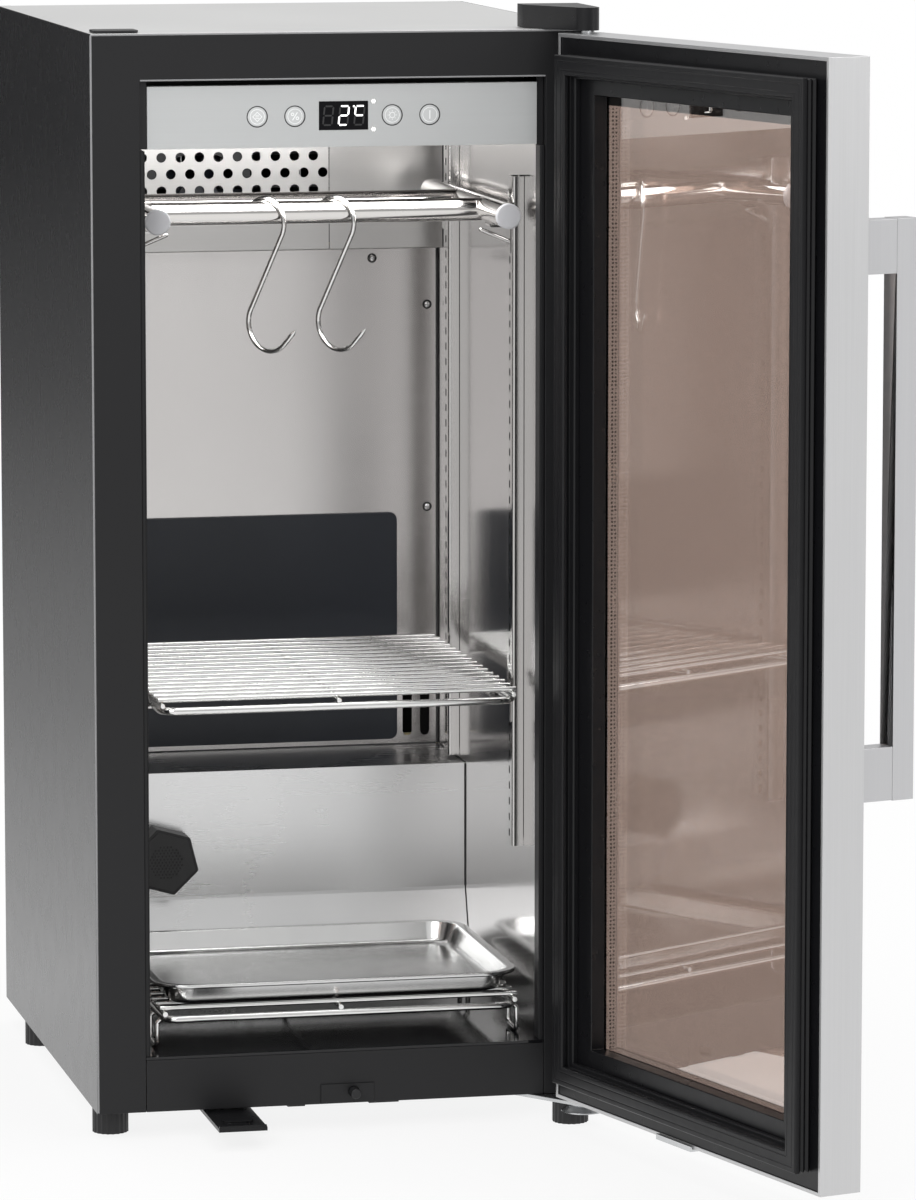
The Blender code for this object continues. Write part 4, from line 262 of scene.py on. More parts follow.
class Finish:
    """A material: its node tree, its Principled shader and the patterns that vary it."""

    def __init__(self, name, slot, **constants):
        self.material = bpy.data.materials.new(name)
        self.material.use_nodes = True
        self.slot = slot
        self.tree = self.material.node_tree
        self.shader = self.tree.nodes["Principled BSDF"]
        for key, value in constants.items():
            self.shader.inputs[key.replace("_", " ").title().replace("Ior", "IOR")].default_value = value
        self.place = self.add("ShaderNodeTexCoord", output="Object")

    def add(self, kind, values=None, output=0, **settings):
        return add(self.tree, kind, values, output, **settings)

    def set(self, name, value):
        feed(self.tree, self.shader.inputs[name], value)

    def stretched(self, scale):
        """Object coordinates with each axis scaled, so that a pattern runs along one of them."""
        return self.add("ShaderNodeMapping", {"Vector": self.place, "Scale": scale})

    def noise(self, scale, detail=3, where=None, roughness=0.5):
        values = {"Vector": where or self.place, "Scale": scale, "Detail": detail, "Roughness": roughness}
        return self.add("ShaderNodeTexNoise", values)

    def cells(self, scale, output, randomness=1.0):
        values = {"Vector": self.place, "Scale": scale, "Randomness": randomness}
        return self.add("ShaderNodeTexVoronoi", values, output)

    def spread(self, pattern, low=0, high=1, start=0.3, end=0.7):
        """Maps a pattern from start..end to low..high."""
        values = {"Value": pattern, "From Min": start, "From Max": end, "To Min": low, "To Max": high}
        return self.add("ShaderNodeMapRange", values)

    def tint(self, factor, colour, low, high, lift=0.0, socket="Base Color"):
        """Varies a colour by a factor between two shares of it."""
        first = [c * low for c in colour]
        second = [c * high + lift for c in colour]
        values = {"Factor": factor, "A": (*first, 1), "B": (*second, 1)}
        self.set(socket, self.add("ShaderNodeMix", values, "Result", data_type="RGBA"))

    def dull(self, pattern, roughness, low, high):
        """Varies the roughness by a pattern between two shares of it."""
        self.set("Roughness", self.spread(pattern, roughness * low, roughness * high))

    def raise_by(self, height, distance, strength=0.2):
        """Bumps the surface by a height pattern, in metres."""
        values = {"Height": height, "Distance": distance, "Strength": strength}
        self.set("Normal", self.add("ShaderNodeBump", values))


def powder_coat(name, slot, colour, roughness, ior=1.5):
    """Baked powder paint: an even colour with a slightly uneven sheen and a very faint orange peel."""
    made = Finish(name, slot, metallic=0.0, ior=ior)
    made.tint(made.spread(made.noise(5)), colour, 1, 1.04)
    made.dull(made.noise(40), roughness, 0.96, 1.04)
    made.raise_by(made.noise(300, 2), 2e-6, 0.1)
    return made


def brushed(name, slot, colour, roughness, grain, depth=8e-6, metallic=1.0, contrast=0.04):
    """Brushed metal: fine lines along the axis that grain scales least, over soft clouds of sheen."""
    made = Finish(name, slot, metallic=metallic)
    lines = made.noise(1, 4, made.stretched(grain), 0.65)
    made.tint(made.spread(lines), colour, 1 - contrast, 1 + contrast)
    swing = roughness * (0.01 + contrast)
    smudge = made.spread(made.noise(5), -0.02, 0.02)
    made.set("Roughness", made.spread(lines, roughness - swing, roughness + swing) + smudge)
    made.raise_by(lines, depth)
    return made


def polished(name, colour, roughness):
    """Bright annealed steel: mirror-like with very long, shallow waves and faint upright wipe marks."""
    made = Finish(name, "stainless", metallic=1.0)
    wipe = made.noise(1, 3, made.stretched((60, 60, 6)), 0.6)
    cloud = made.noise(3)
    made.tint(made.spread(cloud), colour, 0.96, 1)
    made.dull(wipe, roughness, 0.9, 1.15)
    made.raise_by(cloud, 4e-5)
    return made


def moulded(name, slot, colour, roughness, grain=900, depth=3e-5, gloss=0.5):
    """Moulded plastic or rubber with a fine leathery grain."""
    made = Finish(name, slot, metallic=0.0, ior=1.45, specular_ior_level=gloss)
    made.tint(made.spread(made.noise(14)), colour, 1, 1.12, 0.0005)
    made.dull(made.noise(120), roughness, 0.9, 1.1)
    made.raise_by(made.noise(grain, 2), depth)
    return made


def spangled(name, slot, colour, roughness):
    """Zinc-coated sheet: its crystals differ a little in tone and sheen."""
    made = Finish(name, slot, metallic=0.85)
    shade = made.add("ShaderNodeSeparateColor", {0: made.cells(55, "Color")}, "Red")
    made.tint(made.spread(shade * 0.5 + made.noise(4) * 0.5, 0, 1, 0.2, 0.8), colour, 0.9, 1)
    made.set("Roughness", made.spread(shade, roughness * 0.85, roughness * 1.15, 0, 1))
    return made


def perforated(name, slot, colour, roughness):
    """Spacer bar of a sealed unit: bright metal with rows of tiny breathing holes, drawn as dark dots that
    are painted shade inside the holes.
    """
    made = Finish(name, slot, metallic=1.0)
    # Dark dots in place of the holes: painted shade inside them.
    hole = made.spread(made.cells(330, "Distance", 0.15), 1, 0, 0.22, 0.4)
    made.tint(hole, colour, 1, 0.12)
    made.dull(made.noise(60), roughness, 0.9, 1.1)
    return made


def tinted_glass(name, slot, colour):
    """Coated tinted float glass, so it mirrors more than plain glass, with barely visible wipe marks."""
    made = Finish(name, slot, metallic=0.0, ior=2.45, transmission_weight=1.0)
    made.tint(made.spread(made.noise(3)), colour, 1, 0.985)
    made.set("Roughness", made.spread(made.noise(18), 0.0, 0.008, 0.45, 0.75))
    return made


def glowing(name, slot, colour, strength):
    """A lit segment or lamp behind its lens."""
    made = Finish(name, slot, emission_strength=strength, roughness=0.3)
    made.tint(made.spread(made.noise(500)), colour, 1, 0.9)
    made.tint(made.spread(made.noise(400)), colour, 1, 0.92, socket="Emission Color")
    return made


ALONG_Z = (900, 900, 6)
ALONG_X = (5, 900, 900)
COARSE_ALONG_X = (3, 250, 250)
FINS = (300, 300, 30)
CLOUDS = (40, 40, 40)
SPECKS = (300, 300, 300)

SIDE_PAINT = powder_coat("side_paint", "black_paint", (0.028, 0.028, 0.03), 0.27)
FRAME_PAINT = powder_coat("frame_paint", "black_paint", (0.008, 0.008, 0.009), 0.46, 1.42)
# A light grey for the rounded front edges: a painted highlight where the edges catch the light.
PAINTED_EDGE_HIGHLIGHT = powder_coat("painted_edge_highlight", "black_paint", (0.26, 0.26, 0.265), 0.3)
TOP_PAINT = brushed("top_sheet", "top_steel", (0.66, 0.66, 0.655), 0.36, ALONG_X, 1e-6, 0.7, 0.012)
ZINC_SHEET = spangled("zinc_sheet", "galvanised", (0.5, 0.51, 0.52), 0.42)
WALL_STEEL = polished("wall_steel", (0.62, 0.605, 0.6), 0.14)
REAR_STEEL = brushed("rear_steel", "stainless", (0.66, 0.64, 0.63), 0.24, ALONG_X, 1e-6, 1.0, 0.008)
STEP_STEEL = brushed("step_steel", "stainless", (0.76, 0.76, 0.76), 0.27, COARSE_ALONG_X, 1e-7, 1.0, 0.006)
COVER_STEEL = brushed("cover_steel", "stainless", (0.52, 0.51, 0.5), 0.3, ALONG_X, 3e-6, 1.0, 0.015)
RAIL_STEEL = polished("rail_steel", (0.56, 0.55, 0.54), 0.12)
WIRE_STEEL = polished("wire_steel", (0.8, 0.8, 0.79), 0.14)
TRAY_STEEL = polished("tray_steel", (0.68, 0.68, 0.675), 0.2)
TUBE_STEEL = polished("tube_steel", (0.74, 0.72, 0.7), 0.1)
DOOR_STEEL = brushed("door_steel", "brushed_steel", (0.6, 0.6, 0.605), 0.36, ALONG_Z, 3e-6, 0.9, 0.025)
HANDLE_METAL = brushed("handle_metal", "aluminium", (0.56, 0.56, 0.57), 0.34, ALONG_Z, 3e-6, 0.9, 0.02)
FASCIA_PAINT = brushed("fascia_paint", "silver_paint", (0.55, 0.56, 0.56), 0.42, ALONG_X, 2e-6, 0.3, 0.012)
KEY_PLASTIC = moulded("key_plastic", "button_plastic", (0.56, 0.57, 0.57), 0.38, 1500, 1e-5)
CAP_PLASTIC = moulded("cap_plastic", "button_plastic", (0.52, 0.52, 0.54), 0.4, 1500, 1e-5)
MARK_PRINT = moulded("mark_print", "button_plastic", (0.86, 0.87, 0.87), 0.45, 2000, 2e-6)
MATT_PLASTIC = moulded("matt_plastic", "black_plastic", (0.012, 0.012, 0.013), 0.4)
SHINY_PLASTIC = moulded("shiny_plastic", "black_plastic", (0.005, 0.005, 0.006), 0.3, 700, 1e-5, 0.36)
# A near-black sheet for the insides of hollows: painted shade.
PAINTED_SHADE = moulded("painted_shade", "black_plastic", (0.004, 0.004, 0.004), 0.8, 300, 1e-4, 0.1)
PANE_BAND = moulded("pane_band", "black_gloss", (0.045, 0.045, 0.046), 0.3, 800, 2e-6)
FLOOR_GLOSS = moulded("floor_gloss", "black_gloss", (0.006, 0.006, 0.007), 0.09, 30, 1e-6)
FILTER_CASE = moulded("filter_case", "black_plastic", (0.022, 0.022, 0.023), 0.38, 500, 1e-5)
FILTER_FACE = moulded("filter_face", "black_plastic", (0.055, 0.055, 0.056), 0.6, 500, 1e-5)
SCREEN = moulded("screen", "black_gloss", (0.004, 0.004, 0.005), 0.16, 400, 2e-6, 0.12)
GHOST = moulded("ghost", "black_gloss", (0.03, 0.03, 0.031), 0.3, 400, 2e-6)
DUCT_PLASTIC = moulded("duct_plastic", "dark_panel", (0.016, 0.019, 0.026), 0.34, 700, 1e-5)
ENAMEL = powder_coat("enamel", "black_enamel", (0.02, 0.02, 0.02), 0.28)
GASKET = moulded("gasket", "gasket_rubber", (0.007, 0.007, 0.008), 0.4, 500, 1e-5, 0.36)
PANE = tinted_glass("bronze_pane", "bronze_glass", (0.73, 0.63, 0.58))
SPACER_METAL = perforated("spacer_metal", "aluminium", (0.86, 0.86, 0.86), 0.3)
FIN_METAL = brushed("fin_metal", "aluminium", (0.62, 0.62, 0.63), 0.3, FINS)
ZINC_PLATE = brushed("zinc_plate", "zinc", (0.6, 0.61, 0.62), 0.24, CLOUDS, 1e-5, 1.0, 0.08)
SCREW_STEEL = brushed("screw_steel", "stainless", (0.6, 0.6, 0.6), 0.26, SPECKS, 5e-6, 1.0, 0.08)
FOAM = moulded("foam", "foam", (0.7, 0.6, 0.36), 0.85, 260, 6e-4)
DIGIT = glowing("digit", "black_gloss", (1.0, 1.0, 0.98), 1.6)
LENS = glowing("lens", "silver_paint", (1.0, 0.99, 0.96), 1.1)


# Shapes, each drawn into a bmesh in millimetres

def block(bm, low, high):
    size = Vector(high) - Vector(low)
    middle = (Vector(high) + Vector(low)) / 2
    bmesh.ops.create_cube(bm, size=1, matrix=Matrix.Translation(middle) @ Matrix.Diagonal((*size, 1)))


def rod(bm, start, end, radius, sides):
    start_point = Vector(start)
    along = Vector(end) - start_point
    turn = along.to_track_quat("Z", "Y").to_matrix().to_4x4()
    bmesh.ops.create_cone(
        bm, cap_ends=True, segments=sides, radius1=radius, radius2=radius, depth=along.length,
        matrix=Matrix.Translation(start_point + along / 2) @ turn,
    )


def arc(centre, radius, start, end, steps):
    angles = [start + (end - start) * step / steps for step in range(steps + 1)]
    return [(centre[0] + radius * math.cos(a), centre[1] + radius * math.sin(a)) for a in angles]


def circle(centre, radius, sides):
    return arc(centre, radius, 0, math.tau, sides)[:-1]


def rectangle(low_a, low_b, high_a, high_b):
    return [(low_a, low_b), (high_a, low_b), (high_a, high_b), (low_a, high_b)]


def rounded_rectangle(low_a, low_b, high_a, high_b, radius, steps=6):
    quarter = math.pi / 2
    corners = [(high_a - radius, high_b - radius), (low_a + radius, high_b - radius)]
    corners += [(low_a + radius, low_b + radius), (high_a - radius, low_b + radius)]
    points = []
    for index, centre in enumerate(corners):
        points += arc(centre, radius, quarter * index, quarter * (index + 1), steps)
    return points


def shown(name, data):
    """A new object of the scene."""
    made = bpy.data.objects.new(name, data)
    bpy.context.scene.collection.objects.link(made)
    return made


def mesh_from(bm, name):
    """The mesh of a bmesh, which is freed."""
    mesh = bpy.data.meshes.new(name)
    bm.to_mesh(mesh)
    bm.free()
    return mesh


def evaluated_mesh(made):
    """The mesh that an object's curve or modifiers make."""
    bpy.context.view_layer.update()
    return bpy.data.meshes.new_from_object(made.evaluated_get(bpy.context.evaluated_depsgraph_get()))


def traced(dimensions, routes, closed, shares=(), **settings):
    """The mesh of a curve that exists only while it is made. Shares thin it from point to point."""
    curve = bpy.data.curves.new("route", "CURVE")
    curve.dimensions = dimensions
    for name, setting in settings.items():
        setattr(curve, name, setting)
    for route in routes:
        spline = curve.splines.new("POLY")
        spline.points.add(len(route) - 1)
        for point, place in zip(spline.points, route):
            point.co = Vector(place).to_4d()
        for point, share in zip(spline.points, shares):
            point.radius = share
        spline.use_cyclic_u = closed
    guide = shown("guide", curve)
    mesh = evaluated_mesh(guide)
    bpy.data.objects.remove(guide, do_unlink=True)
    return mesh


def wire(bm, points, radius, closed=False, sides=16, shares=()):
    """A round wire along the points."""
    bevel = {"bevel_depth": radius, "bevel_resolution": sides // 2 - 2, "use_fill_caps": not closed}
    bm.from_mesh(traced("3D", [points], closed, shares, **bevel))


PLANES = {
    "XY": Matrix(((1, 0, 0, 0), (0, 1, 0, 0), (0, 0, 1, 0), (0, 0, 0, 1))),
    "XZ": Matrix(((1, 0, 0, 0), (0, 0, 1, 0), (0, 1, 0, 0), (0, 0, 0, 1))),
    "YZ": Matrix(((0, 0, 1, 0), (1, 0, 0, 0), (0, 1, 0, 0), (0, 0, 0, 1))),
}


def plate(bm, outline, plane, low, high, holes=()):
    """A flat outline with holes, in the named plane, from low to high across it."""
    mesh = traced("2D", [outline, *holes], True, fill_mode="BOTH", extrude=(high - low) / 2)
    mesh.transform(PLANES[plane] @ Matrix.Translation((0, 0, (low + high) / 2)))
    bm.from_mesh(mesh)


def rounded_route(points, radii, steps=5):
    """A route whose inner corners are rounded by one radius, or by one radius for each."""
    places = [Vector(point) for point in points]
    if not isinstance(radii, (list, tuple)):
        radii = [radii] * (len(places) - 2)
    route = [places[0]]
    for before, corner, after, radius in zip(places, places[1:], places[2:], radii):
        back = (before - corner).normalized()
        onward = (after - corner).normalized()
        reach = radius / math.tan(back.angle(onward) / 2)
        first = corner + back * reach
        last = corner + onward * reach
        for step in range(steps + 1):
            share = step / steps
            route.append(first * (1 - share) ** 2 + corner * (2 * share * (1 - share)) + last * share ** 2)
    return route + [places[-1]]


def bent_sheet(points, thickness):
    """The section of a bent sheet whose middle follows a flat route."""
    left = []
    right = []
    for index, point in enumerate(points):
        before = Vector(points[max(index - 1, 0)])
        after = Vector(points[min(index + 1, len(points) - 1)])
        along = (after - before).normalized()
        across = Vector((-along.y, along.x)) * (thickness / 2)
        left.append(Vector(point) + across)
        right.append(Vector(point) - across)
    return left + right[::-1]


def fold(bm, points, radii, thickness, plane, low, high):
    """A sheet bent along a flat route of the named plane, from low to high across it."""
    plate(bm, bent_sheet(rounded_route(points, radii), thickness), plane, low, high)


def skin(bm, outlines, ring=False):
    """Joins closed outlines of as many points each in turn, and the last to the first in a ring."""
    loops = []
    for outline in outlines:
        verts = [bm.verts.new(point) for point in outline]
        loops.append([bm.edges.new((verts[index - 1], verts[index])) for index in range(len(verts))])
    following = loops[1:] + (loops[:1] if ring else [])
    for first, second in zip(loops, following):
        bmesh.ops.bridge_loops(bm, edges=first + second)


def turned(profile, sides):
    """A profile of radius and height spun about the Z axis."""
    bm = bmesh.new()
    verts = [bm.verts.new((radius, 0, height)) for radius, height in profile]
    edges = [bm.edges.new(pair) for pair in zip(verts, verts[1:])]
    bmesh.ops.spin(
        bm, geom=verts + edges, cent=(0, 0, 0), axis=(0, 0, 1), angle=math.tau, steps=sides, use_merge=True
    )
    tidied(bm)
    return bm


def tidied(bm):
    """Merges doubled vertices and turns the faces outwards."""
    bmesh.ops.remove_doubles(bm, verts=bm.verts, dist=MERGE)
    bmesh.ops.recalc_face_normals(bm, faces=bm.faces)


def stamped(shape, way, places):
    """Copies of a shape drawn along Z, one at each place, with its top towards the front, the back or up."""
    angle = {"front": math.pi / 2, "back": -math.pi / 2, "up": 0}[way]
    bm = bmesh.new()
    for place in places:
        mesh = bpy.data.meshes.new("copy")
        shape.to_mesh(mesh)
        mesh.transform(Matrix.Translation(place) @ Matrix.Rotation(angle, 4, "X"))
        bm.from_mesh(mesh)
    return bm


def cut(bm, cutter):
    """Takes the cutter's solids out of a bmesh and returns what is left."""
    objects = []
    for shape in (bm, cutter):
        tidied(shape)
        objects.append(shown("shape", mesh_from(shape, "shape")))
    modifier = objects[0].modifiers.new("Cut", "BOOLEAN")
    modifier.operation = "DIFFERENCE"
    modifier.object = objects[1]
    result = bmesh.new()
    result.from_mesh(evaluated_mesh(objects[0]))
    for made in objects:
        bpy.data.objects.remove(made, do_unlink=True)
    return result


def pan_head(radius):
    """A pan-head screw with a cross recess."""
    profile = [(0, 0.62), (0.45, 0.58), (0.8, 0.40), (0.97, 0.16), (1, 0.0), (1, -0.12), (0, -0.12)]
    head = turned([(r * radius, h * radius) for r, h in profile], 24)
    long = 0.55 * radius
    short = 0.11 * radius
    floor = 0.22 * radius
    for half_x, half_y in ((long, short), (short, long)):
        recess = bmesh.new()
        block(recess, (-half_x, -half_y, floor), (half_x, half_y, radius))
        head = cut(head, recess)
    return head


# Finished pieces

def piece(
    name, bm, finish, body="cabinet", place=CABINET, stands_for=(), rounding=0.0, smooth=35, segments=2,
    fix=True,
):
    """Turns a bmesh into a piece of the object, in place, with its finish and its body."""
    bmesh.ops.remove_doubles(bm, verts=bm.verts, dist=MERGE)
    if fix:
        bmesh.ops.recalc_face_normals(bm, faces=bm.faces)
    mesh = mesh_from(bm, name)
    mesh.transform(place)
    return finish_piece(name, mesh, finish, body, stands_for, rounding, smooth, segments)


def finish_piece(name, mesh, finish, body, stands_for, rounding, smooth=35, segments=2):
    dress(mesh, finish)
    mesh.shade_smooth()
    mesh.set_sharp_from_angle(angle=math.radians(smooth))
    made = shown(name, mesh)
    if rounding:
        bevel = made.modifiers.new("Rounding", "BEVEL")
        bevel.width = rounding * MM
        bevel.segments = segments
        bevel.limit_method = "ANGLE"
        bevel.angle_limit = math.radians(35)
        bevel.harden_normals = True
    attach(made, body)
    if stands_for:
        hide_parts(*stands_for)
    return made


def softened(node, finish, rounding):
    """A copy of a CAD node with its edges rounded, which stands for it."""
    source = frame["nodes"][node]
    bm = bmesh.new()
    bm.from_mesh(source.data)
    bmesh.ops.remove_doubles(bm, verts=bm.verts, dist=MERGE_METRES)
    bmesh.ops.dissolve_limit(bm, angle_limit=math.radians(1), verts=bm.verts, edges=bm.edges)
    name = f"{node}_finished"
    finish_piece(name, mesh_from(bm, name), finish, source["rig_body"], [node], rounding)


def dress(mesh, finish):
    """Gives a mesh its finish."""
    mesh.materials.clear()
    mesh.materials.append(finish.material)


# Body

def edge_beads():
    """Rolled edges of the side and top sheets about the front, and of the frame over the opening, in a light
    grey that is a painted highlight along these edges.
    """
    radius = 0.95
    sheet_y = 0.55
    right = BODY_WIDTH - radius
    top = BODY_HEIGHT - radius
    corners = [(radius, sheet_y, 1), (radius, sheet_y, top), (right, sheet_y, top), (right, sheet_y, 1)]
    bm = bmesh.new()
    wire(bm, rounded_route(corners, 1.2, 3), radius, sides=12)
    piece("front_edge_highlight_bead", bm, PAINTED_EDGE_HIGHLIGHT)
    bm = bmesh.new()
    ends = [(wall + way * 0.4, 0.6, OPENING_TOP + 0.2) for wall, way in WALLS]
    wire(bm, ends, 0.8, sides=12)
    piece("opening_edge_highlight_bead", bm, PAINTED_EDGE_HIGHLIGHT)


def painted_shade_sheets():
    """Black sheets inside the air duct, behind its side slots and in the pocket behind the evaporator cover:
    painted shade, so that these hollows read dark.
    """
    wall = PAINTED_SHADE_WALL
    duct = ((54.6, REAR_WALL_Y + 0.8, 225.5), (340.4, FOAM_BACK_Y - GAP, 638))
    end = (OPENING_RIGHT, POCKET_BACK_Y - GAP, OPENING_TOP)
    pocket = ((OPENING_LEFT, REAR_WALL_Y + 2, SILL_Z), end)
    for name, (low, high) in (("duct_painted_shade", duct), ("pocket_painted_shade", pocket)):
        bm = bmesh.new()
        block(bm, (low[0], high[1] - wall, low[2]), high)
        block(bm, low, (low[0] + wall, high[1] - wall, high[2]))
        block(bm, (high[0] - wall, low[1], low[2]), (high[0], high[1] - wall, high[2]))
        if name == "duct_painted_shade":
            block(bm, (low[0] + wall, low[1], low[2]), (high[0] - wall, high[1] - wall, low[2] + wall))
        piece(name, bm, PAINTED_SHADE, rounding=0.1)
    bm = bmesh.new()
    for low, high in ((OPENING_LEFT + 0.5, 54.4), (340.6, OPENING_RIGHT - 0.5)):
        block(bm, (low, REAR_WALL_Y + 0.25, LEDGE_TOP + 2), (high, REAR_WALL_Y + 0.45, 636))
    piece("slot_painted_shade", bm, PAINTED_SHADE, rounding=0.05)


def corner_seals():
    """Dark beads of sealant in the cavity's upright corners and along the ledge of the step."""
    uprights = (
        (0.9, REAR_WALL_Y, LEDGE_TOP + 0.5, 638), (0.9, 366, SILL_Z, OPENING_TOP - 1),
        (0.5, STEP_FRONT_Y, 44, LEDGE_TOP - 0.5),
    )
    side_z = LEDGE_TOP + 0.2
    rear_z = LEDGE_TOP + 0.4
    bm = bmesh.new()
    for wall, way in WALLS:
        for radius, y, bottom, top in uprights:
            x = wall + way * radius
            rod(bm, (x, y - radius * 0.6, bottom), (x, y - radius * 0.6, top), radius, 12)
        x = wall + way * 0.6
        rod(bm, (x, STEP_FRONT_Y + 1, side_z), (x, REAR_WALL_Y - 1.5, side_z), 0.5, 12)
    rod(bm, (OPENING_LEFT + 2, REAR_WALL_Y, rear_z), (OPENING_RIGHT - 2, REAR_WALL_Y, rear_z), 0.7, 12)
    piece("corner_seals", bm, FILTER_FACE, rounding=0.2)


def opening_trims():
    """Dark upright trims that cover the joint of the frame and the cavity."""
    trims = bmesh.new()
    beads = bmesh.new()
    for wall, way in WALLS:
        low, high = sorted((wall + way * 0.1, wall + way * 3.4))
        block(trims, (low, 2.5, PLINTH_TOP + 0.5), (high, 20, HOUSING_BOTTOM - 0.5))
        x = wall + way * 3.6
        rod(beads, (x, 3.0, PLINTH_TOP + 1), (x, 3.0, HOUSING_BOTTOM - 1), 0.45, 12)
    piece("opening_trims", trims, FRAME_PAINT, rounding=0.7, segments=3)
    piece("opening_trim_beads", beads, FRAME_PAINT, rounding=0.1)


def step_foot():
    """The lower end of the step's sheet, which slopes forward to the floor."""
    route = rounded_route([(285.5, 116), (285.2, 113.5), (262.5, 44.3), (259.5, 44.1)], [2.5, 1.5], 4)
    bm = bmesh.new()
    plate(bm, bent_sheet(route, SHEET), "YZ", OPENING_LEFT + SHEET, OPENING_RIGHT - SHEET)
    piece("step_foot_sheet", bm, STEP_STEEL, smooth=12)


def wall_screws():
    """Screws in the cavity's rear wall, mirrored about its middle, each in a dark ring that is painted shade
    of the dimple the screw sits in.
    """
    mirror = OPENING_LEFT + OPENING_RIGHT
    places = [(x, REAR_WALL_Y - 0.05, z) for right, z in REAR_SCREWS for x in (right, mirror - right)]
    seats = [(x, y - 0.3, z) for x, y, z in places]
    # A dark flat ring under each screw: painted shade of its dimple.
    shade_ring = turned([(2.6, 0), (4.0, 0), (3.8, 0.5), (2.6, 0.5), (2.6, 0)], 24)
    piece("rear_wall_screws", stamped(pan_head(3.0), "front", seats), SCREW_STEEL)
    piece("rear_wall_shade_rings", stamped(shade_ring, "front", places), MATT_PLASTIC)


def back_screws():
    """Screws about the edge of the galvanised back."""
    back = extent("rear_panel")[1].y + 0.1
    places = [(x, back, z) for x in (8, BODY_WIDTH - 8) for z in BACK_SCREW_Z]
    places += [(x, back, z) for x in (BODY_WIDTH / 3, BODY_WIDTH * 2 / 3) for z in (828, 208)]
    piece("back_screws", stamped(pan_head(3.4), "back", places), SCREW_STEEL)


def plinth_tabs():
    """Two low tabs of the base that show under the plinth."""
    bm = bmesh.new()
    for low, high in ((151, 165), (216, 240)):
        block(bm, (low, 3, -1.6), (high, 14, -0.1))
    piece("plinth_tabs", bm, MATT_PLASTIC, rounding=0.3)


# Cavity

def evaporator_cover():
    """A perforated sheet and a blank one beside it, both turned back along the bottom."""
    low, high = extent("evaporator_cover")
    front = low.y + SHEET / 2
    section = [(high.y, low.z + SHEET / 2), (front, low.z + SHEET / 2), (front, high.z)]
    sheet = bmesh.new()
    fold(sheet, section, 1.6, SHEET, "YZ", low.x, COVER_SEAM_X - GAP)
    holes = bmesh.new()
    first_x, first_z = COVER_FIRST_HOLE
    for row in range(COVER_ROWS):
        shift = COVER_HOLE_PITCH / 2 if row % 2 == 0 else 0
        for column in range(COVER_COLUMNS):
            x = first_x + shift + COVER_HOLE_PITCH * column
            z = first_z + COVER_ROW_PITCH * row
            rod(holes, (x, front - 4, z), (x, front + 4, z), COVER_HOLE_RADIUS, 28)
    bm = cut(sheet, holes)
    fold(bm, section, 1.6, SHEET, "YZ", COVER_SEAM_X + GAP, high.x)
    piece("evaporator_cover_sheets", bm, COVER_STEEL, stands_for=["evaporator_cover"], smooth=12)


def shelf_rail(node):
    """A slotted channel with a black sheet inside it that is painted shade behind the slots, and its clips
    under the hanging frame and under the shelf.
    """
    low, high = extent(node)
    rail_top = FRONT_RAIL_TOP if "front" in node else high.z
    wall, way = (low.x, 1) if node.endswith("left") else (high.x, -1)
    face = wall + way * RAIL_DEPTH
    skin_x = face - way * RAIL_SHEET / 2
    near = low.y + RAIL_SHEET / 2
    far = high.y - RAIL_SHEET / 2
    section = [(wall, near), (skin_x, near), (skin_x, far), (wall, far)]
    channel = bmesh.new()
    fold(channel, section, 1.4, RAIL_SHEET, "XY", low.z, rail_top)
    middle = (low.y + high.y) / 2
    width, height = RAIL_SLOT
    slots = bmesh.new()
    for index in range(int((rail_top - low.z - height) / RAIL_PITCH)):
        z = low.z + RAIL_PITCH * (index + 0.5)
        outline = rounded_rectangle(middle - width / 2, z, middle + width / 2, z + height, 1.5, 3)
        plate(slots, outline, "YZ", face - 3, face + 3)
    bm = cut(channel, slots)
    for seat in CLIP_SEATS:
        top = seat - CLIP_SHEET / 2
        reach = face + way * CLIP_REACH
        leg = face + way * CLIP_SHEET / 2
        route = [(leg, seat - CLIP_HEIGHT), (leg, top), (reach - way * 1.2, top), (reach, top + 2.4)]
        fold(bm, route, [2.0, 1.0], CLIP_SHEET, "XZ", middle - CLIP_WIDTH / 2, middle + CLIP_WIDTH / 2)
    piece(f"{node}_channel", bm, RAIL_STEEL, stands_for=[node], rounding=0.2, smooth=20)
    # A black sheet inside the channel: painted shade seen through the slots.
    back = face - way * (RAIL_SHEET + 0.15)
    start, end = sorted((back, back - way * 0.3))
    inside = bmesh.new()
    block(inside, (start, near + 1.5, low.z + 2), (end, far - 1.5, rail_top - 2))
    piece(f"{node}_lining", inside, PAINTED_SHADE, rounding=0.05)


def shelf_rails():
    for node in ("rail_front_left", "rail_front_right", "rail_rear_left", "rail_rear_right"):
        shelf_rail(node)


def clip_tongues():
    """Wire tongues that slope up under the ends of the hanging frame."""
    bm = bmesh.new()
    for wall, way in WALLS:
        steps = ((8.4, 666.8), (20, 671.8), (34, 677.6), (34.9, 678))
        wire(bm, [(wall + way * out, TONGUE_Y, z) for out, z in steps], TONGUE_RADIUS, shares=[1, 1, 1, 0.5])
    piece("clip_tongues", bm, RAIL_STEEL, rounding=0.3)


